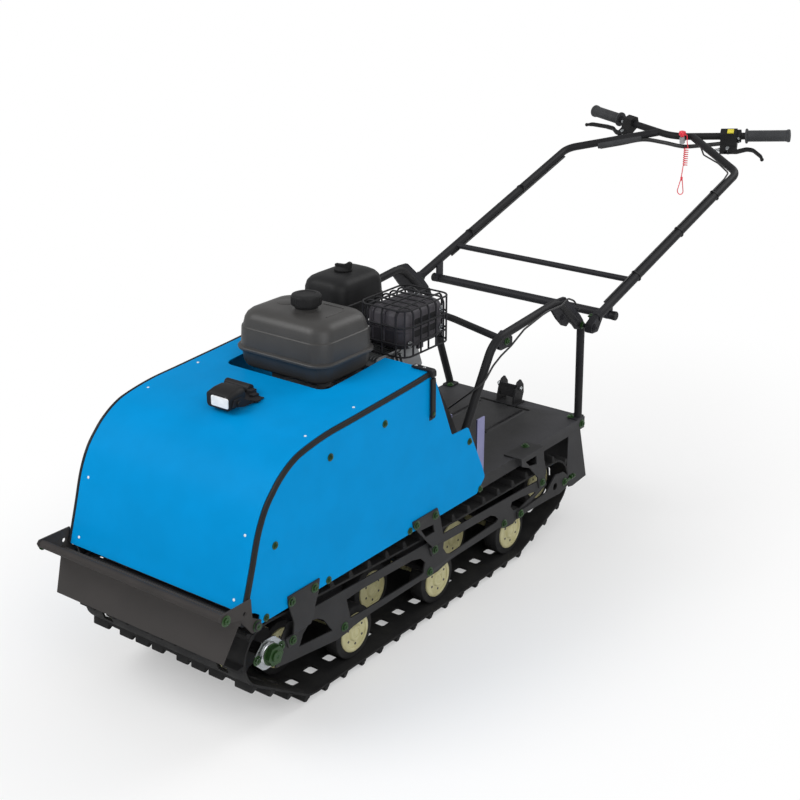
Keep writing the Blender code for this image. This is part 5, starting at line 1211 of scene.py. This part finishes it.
@dataclass
class Handle:
    """Fixed frame, folding column, handlebar and controls."""

    fold: tuple[float, float] = (722.0, 606.0)
    column_x: float = 298.0
    low: tuple[float, float] = (745.0, 626.3)
    high: tuple[float, float] = (1566.0, 869.8)
    bar_radius: float = 11.0
    sweep: float = 0.30
    rise: float = 0.081
    switch: tuple[float, float, float] = (34.0, 24.0, 3.0)

    def column_z(self, y: float) -> float:
        """Height of the column's side tubes at a place along the machine."""
        return self.low[1] + (y - self.low[0]) * (self.high[1] - self.low[1]) / (self.high[0] - self.low[0])

    def bar(self, x: float) -> Vector:
        """Point on the handlebar's middle line."""
        return Vector((x, 1720 + self.sweep * abs(x), 919 + self.rise * abs(x)))

    def bar_frame(self, side: int) -> tuple[Vector, Vector, Vector]:
        """Finds the directions at half of the bar.

        Args:
            side: 1 for the right half, -1 for the left one.

        Returns:
            The directions along it, ahead of it and above it.
        """
        along = (self.bar(side * 342) - self.bar(0)).normalized()
        up = Vector((0, 0, 1))
        up = (up - along * up.dot(along)).normalized()
        ahead = up.cross(along)
        return along, (-ahead if ahead[1] > 0 else ahead), up

    def on(self, side: int, distance: float, ahead: float = 0.0, above: float = 0.0) -> Vector:
        """A point by its distance along the bar, ahead of it and above it."""
        along, forward, up = self.bar_frame(side)
        return self.bar(0) + along * distance + forward * ahead + up * above

    def lathe_on(self, side: int, profile: Iterable[Point], steps: int = 32) -> Shape:
        """A turned body whose axis is the bar, from (distance, radius) pairs."""
        return skin([[self.on(side, d, a, b) for a, b in polygon(steps, r)] for d, r in profile])

    def box_on(self, side: int, span: tuple[float, float], cut: Iterable[Point]) -> Shape:
        """A block along the bar with an outline of (ahead, above) points."""
        return skin([[self.on(side, d, a, b) for a, b in cut] for d in span])

    def left_arm(self, share: float, ahead: float, above: float) -> Vector:
        """A point beside the column's left arm, at a share of its length from the bar."""
        return Vector((-62 - 236 * share, 1737 - 171 * share, 923 - 53 * share)) + Vector((0, ahead, above))

    def lower_frame(self) -> None:
        """Makes the fixed posts, humped tubes, cross tube, gussets, feet and pins."""
        front = rounded(((236, 135, DECK_TOP), (236, 135, 311), (255, 312, 672), (256, 608, 698),
                         (258, 702, 618)), 70, 12)
        rear = rounded(((221, 806, DECK_TOP), (221, 806, 311), (257, 735, 604)), 30, 6)
        outline = ((574, 686), (604, 652), (634, 626), (652, 619), (668, 628), (690, 612), (706, 596),
                   (738, 590), (742, 612), (722, 634), (640, 704), (600, 706))
        gusset = plate(Axis.X, rounded(outline, 7, 4, True), 254, 261)
        ear = plate(Axis.X, rounded(((338, 640), (392, 640), (392, 664), (352, 690), (318, 676)), 8, 4, True),
                    250, 259)
        feet = joined(soft_loft((214, 258, 111, 159), ((DECK_TOP, 0, 8), (FOOT_TOP, 0, 8)), 4),
                      soft_loft((199, 232, 782, 825), ((DECK_TOP, 0, 6), (FOOT_TOP, 0, 6)), 4))
        half = (pipe(front, 11, 28), pipe(rear, 11, 28), gusset, ear, feet)
        shapes = [handed(s, side) for side, _ in SIDES for s in half]
        bow = rounded(((255, 334, 674), (85, 385, 676), (0, 400, 678), (-85, 385, 676), (-255, 334, 674)),
                      120, 8)
        pins = both(turned(Axis.X, self.fold, ((256, 6), (self.column_x + 9, 6)), 24))
        SHOP.stand_in("lower_frame", joined(*shapes, pipe(bow, 9, 24), pins), BLACK_COAT, smooth=32)
        spots = []
        for side, _ in SIDES:
            spots += outward(side, 268.5, (self.fold,)) + outward(side, 259, ((366, 658),))
            spots += upward(*((side * x, y, FOOT_TOP) for x, y in ((222, 119), (250, 151), (207, 790))))
        COPIES.place("frame_screws", screw(7.6, 5.8, 10.5), spots, GREEN_BOLT)
        spots = []
        for side, _ in SIDES:
            spots += outward(side, self.column_x + 8.6, (self.fold,)) + outward(side, 261, ((630, 650),))
        COPIES.place("fold_bolts", screw(7.6, 5.8, 10.5), spots, BLACK_COAT)

    def column(self) -> None:
        """Makes the folding side tubes, crossbars, fold brackets and clamps."""
        x = self.column_x
        join = self.bar(62) - Vector((0, 2, 1))
        side = pipe(rounded(((x, *self.low), (x, *self.high), join), 60, 12), 12, 32)
        low_z = self.column_z(838) - 46
        bars = joined(turned(Axis.X, (938, self.column_z(938)), ((-x, 8.2), (x, 8.2)), 28),
                      turned(Axis.X, (838, low_z), ((-306, 12), (306, 12)), 32))
        caps = both(turned(Axis.X, (838, low_z), ((297, 12.5), (306, 12.7), (308, 11)), 32))
        y, z = self.fold
        eye = plate(Axis.X, rounded(((y - 16, z + 10), (y - 16, z - 14), (y + 20, z - 16), (769, 628.3),
                                     (763, 646.3)), 8, 4, True), x - 12, x + 8)
        clamp = turned(Axis.Z, (x - 14, y + 19), ((z - 16, 5.8), (z + 24, 5.8)), 20)
        lug = plate(Axis.X, ((824, low_z - 8), (852, low_z - 8), (852, self.column_z(852)),
                             (824, self.column_z(824))), x - 16, x - 10)
        SHOP.piece("column_dressed", joined(both(side), bars, both(eye), both(clamp), both(lug)), BLACK_COAT,
                   "column", ("handle_column",), smooth=32)
        SHOP.piece("crossbar_caps", caps, BLACK_PLASTIC_AND_SHADE, "column")
        spots = upward(*((s * (x - 14), y + 19, z + 22) for s, _ in SIDES))
        spots += [((s * (x - 14), y + 19, z - 14), (math.pi, 0.0, 0.0)) for s, _ in SIDES]
        COPIES.place("column_nuts", screw(7.0, 6.0, 9.5), spots, GREEN_BOLT, "column")

    def bar_and_grips(self) -> None:
        """Makes the handlebar and its ribbed grips."""
        path = rounded((self.bar(-342), self.bar(0), self.bar(342)), 160, 12)
        SHOP.stand_in("handlebar", pipe(path, self.bar_radius, 32), BLACK_COAT, smooth=50)
        for side, name in SIDES:
            inner = 230 if side > 0 else 238
            profile = [(inner, 13), (inner, 22.5), (inner + 1.5, 23.5), (inner + 4.5, 23.5), (inner + 6, 22),
                       (inner + 7, 17.7)]
            for k in range(28):
                d = inner + 8 + k * (112 - inner + 230) / 28
                profile += [(d, 17.7), (d + 2.6, 17.7), (d + 2.9, 17.4), (d + 3.4, 17.4)]
            profile += [(352, 17.8), (356, 18), (358, 20), (364, 20), (366, 18.5), (367, 13), (367.5, 6)]
            SHOP.stand_in(f"grip_{name}", self.lathe_on(side, profile), GRIP_RUBBER, smooth=28)

    def tilt(self, side: int) -> float:
        """How far a lever's mount is turned down round the bar, in radians."""
        return math.radians(35.0 if side > 0 else 20.0)

    def on_control(self, side: int, distance: float, ahead: float, above: float) -> Vector:
        """As on(), in the frame of the lever's mount."""
        c, s = math.cos(self.tilt(side)), math.sin(self.tilt(side))
        return self.on(side, distance, ahead * c + above * s, above * c - ahead * s)

    def blade(self, side: int, path: Sequence[Point]) -> Shape:
        """A flat lever with rounded edges along a path of (distance, ahead) points.

        Args:
            side: 1 for the right lever, -1 for the left one.
            path: its middle line, in the frame of the lever's mount.

        Returns:
            Points and faces.
        """
        line = rounded([(d, a, 0) for d, a in path], 24, 8)
        last = len(line) - 1
        ring = [[math.copysign(abs(c) ** 0.6, c) for c in p] for p in polygon(20, 1.0)]
        rings = []
        for i, (here, right) in enumerate(with_normals(line)):
            share, ends = i / last, 0.55 if i in (0, last) else 1.0
            thick, tall = (5.2 - 0.8 * share) * ends, (8.2 - 1.8 * share) * ends
            rings.append([self.on_control(side, here[0] - right[0] * thick * a,
                                          here[1] - right[1] * thick * a, tall * b - 18) for a, b in ring])
        return skin(rings)

    def levers(self) -> None:
        """Makes the perches, levers, adjusters, pivots and their screws."""
        paths = {1: ((176, 46), (204, 51), (236, 40), (256, 44), (284, 72), (288, 84)),
                 -1: ((188, 45), (217, 47), (244, 34), (274, 36), (330, 48), (346, 60))}
        for side, name in SIDES:
            start, end, pivot = (153, 204, (178, 46)) if side > 0 else (172, 206, (188, 45))
            SHOP.dressed(f"perch_{name}", BLACK_PLASTIC_AND_SHADE, 2.2)
            tip = self.on_control(side, *paths[side][-1], -18)
            turns = [math.pi * k / 10 for k in range(11)]
            arc = [(tip[2] - 6 * math.cos(t), max(6 * math.sin(t), 0.4)) for t in turns]
            lever = joined(self.blade(side, paths[side]), turned(Axis.Z, tip, arc, 20))
            SHOP.stand_in(f"lever_{name}", lever, BLACK_PLASTIC_AND_SHADE, smooth=40)
            line = [self.on_control(side, start + d, 40, -20) for d in (2, -7, -16)]
            adjuster = joined(pipe(line[:2], 6.4, 20), pipe(line[1:], 4.4, 16))
            SHOP.piece(f"cable_adjuster_{name}", adjuster, ZINC, "column", smooth=30)
            turn = (self.tilt(side) + math.pi / 2, 0.0, 0.0)
            bolts = [(self.on_control(side, end + 6, 16.5, b), turn) for b in (8, -7)]
            COPIES.place(f"perch_screws_{name}", screw(3.6, 3.0, 4.6), bolts, ZINC, "column")
            low, top, cap = (self.on_control(side, *pivot, b) for b in (-31.5, -8, -4))
            bolt = joined(pipe((low, top), 4, 16), pipe((top, cap), 6.5, 6))
            SHOP.piece(f"lever_pivot_{name}", bolt, ZINC, "column", smooth=30)

    def switches(self) -> None:
        """Makes the starter button, and the kill switch with its clamp and cap."""
        SHOP.dressed("starter_button", YELLOW_PLASTIC, 1.0)
        d, a, top = self.switch
        body = self.box_on(1, (d - 7, d + 7), corners(a - 10, a + 10, top - 21, top))
        SHOP.piece("kill_switch_body", body, GREY_PLASTIC, "column", ("kill_switch",), bevel=1.6)
        clamp = self.lathe_on(1, ((d - 6, 11.4), (d - 6, 15), (d + 6, 15), (d + 6, 11.4)))
        SHOP.piece("kill_switch_clamp", clamp, BLACK_PLASTIC_AND_SHADE, "column", bevel=0.8)
        x, y, z = self.on(1, d, a, top + 0.3)
        cap = turned(Axis.Z, (x, y), ((z + 0.4, 6), (z + 4.4, 7), (z + 5, 9.5), (z + 7, 11), (z + 15, 11),
                                      (z + 18, 9.6), (z + 19.6, 5)), 32)
        SHOP.stand_in("kill_cap", cap, RED_PLASTIC, smooth=40)

    def lanyard(self) -> None:
        """Makes the curly safety lanyard, its crimp and its wrist loop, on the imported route."""
        seat = self.on(1, 34, 24, 3.3)
        r, curls, length, per_curl = 6.5, 8.5, 58.0, 24
        points = [seat + Vector(v) for v in ((11.3, 0, 8), (15, 0, 8.4), (17.4, 0, 4), (18.6, 0, -14))]
        points = [points[0]] + rounded(points, 4, 4)[1:]
        axis = seat + Vector((17, 0, 0))
        top = seat.z - 33
        steps = round(curls * per_curl)
        for k in range(steps + 1):
            t = 2 * math.pi * k / per_curl
            points.append(Vector((axis.x + r * math.cos(t), axis.y + r * math.sin(t),
                                  top - length * k / steps)))
        low = top - length
        knot, hang = low - 42, axis.x - r - 4
        points += [Vector((axis.x - r - 1, axis.y + 1, low - 8)), Vector((hang, axis.y, knot))]
        for k in range(1, 37):
            t = math.radians(150 + 240 * k / 39)
            points.append(Vector((hang + 10 * math.cos(t), axis.y, knot - 41 + 11.5 * math.sin(t))))
        points.append(Vector((hang + 3.8, axis.y, knot - 1)))
        curve = bpy.data.curves.new("lanyard_cord", "CURVE")
        curve.dimensions = "3D"
        curve.bevel_depth = 1.5 * MM
        curve.bevel_resolution = 3
        curve.use_fill_caps = True
        spline = curve.splines.new("POLY")
        spline.points.add(len(points) - 1)
        for place, p in zip(spline.points, points):
            place.co = (*(p * MM), 1.0)
        cord = bpy.data.objects.new("lanyard_cord", curve)
        bpy.context.collection.objects.link(cord)
        curve.materials.append(RED_PLASTIC.material())
        crimp = turned(Axis.Z, (hang + 1.6, axis.y), ((knot - 7, 3.0), (knot - 6, 3.8), (knot + 4, 3.8),
                                                      (knot + 5, 3.0)), 20)
        knot_piece = SHOP.piece("lanyard_crimp", crimp, RED_PLASTIC, "kill_cap", smooth=40)
        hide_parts("lanyard")
        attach(cord, "kill_cap")

    def cables(self) -> None:
        """Makes the cables along the handle, with their sleeve, wrap and thin wires."""
        x = self.column_x
        upper = [self.on_control(1, *p) for p in ((149, 40, -22), (120, 34, -24), (98, 24, -26))]
        upper += [self.on(1, 90, 6, -34), (150, 1639, 893), (220, 1598, 883), (270, 1566, 866)]
        upper += [(x - 9, y, self.column_z(y) + 12.1) for y in (1500, 1200, 980, 900, 800)]
        SHOP.stand_in("cable_upper", pipe(rounded(upper, 30, 6), 2.5, 14), CABLE_SHEATH, smooth=50)
        lower = [(264.5, 712, 650), (264.5, 680, 684), (266, 645, 700), (271.5, 603, 692), (271.5, 529, 694),
                 (271.5, 426, 675), (271.5, 367, 648), (271, 323, 634), (272, 286, 618), (270, 252, 585),
                 (240, 236, 556), (150, 262, 480), (90, 240, 470), (90, 142.5, 470)]
        SHOP.stand_in("cable_lower", pipe(rounded(lower, 40, 6), 2.5, 14), CABLE_SHEATH, smooth=50)
        sleeve = [self.left_arm(t, -8, -15) for t in (0.62, 0.4, 0.15)] + [self.on(-1, 30, 10, -25)]
        sleeve += [self.on(1, *p) for p in ((34, 14, -29), (90, 18, -26), (154, 18, -20))]
        SHOP.piece("bar_sleeve", pipe(smoothed(sleeve, 8), 6.5, 16), CABLE_SHEATH, "column", smooth=50)
        wrap = [self.left_arm(t, -3, -7) for t in (0.66, 0.5, 0.34, 0.18)]
        SHOP.piece("arm_wrap", pipe(wrap, 12.4, 24), GRIP_RUBBER, "column", bevel=2.0, smooth=50)
        clutch = [self.on_control(-1, *p) for p in ((158, 40, -20), (130, 36, -26))]
        clutch += [self.on(-1, *p) for p in ((96, 22, -30), (60, 14, -25))]
        lead = pipe([(-x + 12.5, y, self.column_z(y) - 9) for y in (1530, 900)], 3.0, 10)
        wires = joined(pipe(smoothed(clutch, 8), 2.5, 12), lead)
        SHOP.piece("thin_wires", wires, CABLE_SHEATH, "column", smooth=50)

    def ties(self) -> None:
        """Adds the plastic ties that hold the cables to the column's side tubes."""
        outline = rounded(((-13.4, 4), (-13.4, -12), (12.8, -13), (12.8, 8), (-4, 16.6), (-13.4, 16)), 7, 5,
                          True)
        way = math.atan2(self.column_z(1) - self.column_z(0), 1.0)
        for (side, name), places in zip(SIDES, ((1421, 1203, 959), (1290, 1010))):
            band = skin([[Vector((side * q[0], s, q[1])) for q in outline] for s in (-2.2, 2.2)])
            spots = [((side * self.column_x, y, self.column_z(y)), (way, 0.0, 0.0)) for y in places]
            COPIES.place(f"cable_ties_{name}", band, spots, BLACK_PLASTIC_AND_SHADE, "column", smooth=40)

    def build(self) -> None:
        """Makes the handle with all its controls."""
        self.lanyard()
        self.lower_frame()
        self.column()
        self.bar_and_grips()
        self.levers()
        self.switches()
        self.cables()
        self.ties()


@dataclass
class Studio:
    """Camera, lights, world and floor."""

    camera_at: tuple[float, float, float] = (2.1300, -2.5519, 1.8698)
    azimuth: float = 37.07
    elevation: float = 21.62
    focal_share: float = 1468.9 / 800.0
    lamp_size: float = 3.5
    floor_half: float = 40.0
    floor_drop: float = 0.0005
    sensor: float = 36.0
    aim: tuple[float, float, float] = (0.0, 0.3, 0.4)

    def camera(self) -> None:
        """Creates the camera at the photograph's place."""
        data = bpy.data.cameras.new("camera")
        data.sensor_width = self.sensor
        data.sensor_fit = "HORIZONTAL"
        data.lens = self.sensor * self.focal_share
        data.clip_end = 100.0
        made = bpy.data.objects.new("camera", data)
        a, e = math.radians(self.azimuth), math.radians(self.elevation)
        forward = Vector((-math.sin(a) * math.cos(e), math.cos(a) * math.cos(e), -math.sin(e)))
        made.location = self.camera_at
        made.rotation_euler = forward.to_track_quat("-Z", "Y").to_euler()
        bpy.context.collection.objects.link(made)
        bpy.context.scene.camera = made

    def lamp(self, name: str, at: Point, power: float) -> None:
        """Adds a soft square lamp that faces the machine.

        Args:
            name: the lamp's name.
            at: its place in metres.
            power: its power in watts.
        """
        data = bpy.data.lights.new(name, "AREA")
        data.shape = "SQUARE"
        data.size = self.lamp_size
        data.energy = power
        made = bpy.data.objects.new(name, data)
        made.location = at
        made.rotation_euler = (Vector(self.aim) - Vector(at)).to_track_quat("-Z", "Y").to_euler()
        bpy.context.collection.objects.link(made)

    def world(self) -> None:
        """Makes an even surround: white to the eye, about half as bright as light and in reflections."""
        world = bpy.data.worlds.new("pale_surround")
        world.use_nodes = True
        tree = world.node_tree
        tree.nodes.clear()
        ray = add_node(tree, "ShaderNodeLightPath")
        seen = add_node(tree, "ShaderNodeMath", {"operation": "MAXIMUM"},
                        {0: ray.outputs["Is Camera Ray"], 1: ray.outputs["Is Transmission Ray"]})
        soft, mirror, plain = (white(tree, "ShaderNodeBackground", strength) for strength in (0.42, 0.5, 1.0))
        lit = mixed(tree, ray.outputs["Is Glossy Ray"], soft, mirror)
        mix = mixed(tree, seen.outputs[0], lit, plain)
        add_node(tree, "ShaderNodeOutputWorld", None, {"Surface": mix.outputs[0]})
        bpy.context.scene.world = world

    def floor(self) -> None:
        """Lays a wide white floor that keeps a soft shadow."""
        mesh = bpy.data.meshes.new("floor")
        half = self.floor_half
        spots = [(x, y, -self.floor_drop) for x, y in corners(-half, half, -half, half)]
        mesh.from_pydata(spots, [], [[0, 1, 2, 3]])
        made = bpy.data.objects.new("floor", mesh)
        bpy.context.collection.objects.link(made)
        look = bpy.data.materials.new("white_studio_floor")
        look.use_nodes = True
        tree = look.node_tree
        shader = tree.nodes["Principled BSDF"]
        shader.inputs["Base Color"].default_value = linear("F4F4F4")
        shader.inputs["Roughness"].default_value = 0.7
        ray = add_node(tree, "ShaderNodeLightPath")
        place = add_node(tree, "ShaderNodeTexCoord").outputs["Object"]
        oval = add_node(tree, "ShaderNodeVectorMath", {"operation": "MULTIPLY"},
                        {0: place, 1: (1.0, 0.55, 1.0)})
        away = add_node(tree, "ShaderNodeVectorMath", {"operation": "DISTANCE"},
                        {0: oval.outputs["Vector"], 1: (0.0, 0.165, 0.0)})
        far = ramp(tree, away.outputs["Value"], 0.5, 1.3, 0.38, 1.0, "SMOOTHSTEP")
        share = add_node(tree, "ShaderNodeMath", {"operation": "MULTIPLY"},
                         {0: ray.outputs["Is Camera Ray"], 1: far})
        mix = mixed(tree, share.outputs[0], shader, white(tree, "ShaderNodeEmission", 1.0))
        tree.links.new(mix.outputs[0], tree.nodes["Material Output"].inputs["Surface"])
        mesh.materials.append(look)

    def build(self) -> None:
        """Sets the whole studio."""
        self.camera()
        self.lamp("key", (-2.6, -3.6, 4.6), 205.0)
        self.lamp("fill", (4.2, -1.6, 3.0), 100.0)
        self.lamp("back", (1.5, 5.0, 4.4), 115.0)
        self.world()
        self.floor()
        bpy.context.scene.view_settings.view_transform = "Standard"


def main() -> None:
    """Builds the studio and the machine in order."""
    logging.basicConfig(level=logging.INFO, format="%(name)s: %(message)s")
    Studio().build()
    Handle().build()
    Track().build()
    Wheels().build()
    Undercarriage().build()
    Body().build()
    Hood().build()
    Engine().build()


if __name__ == "__main__":
    main()
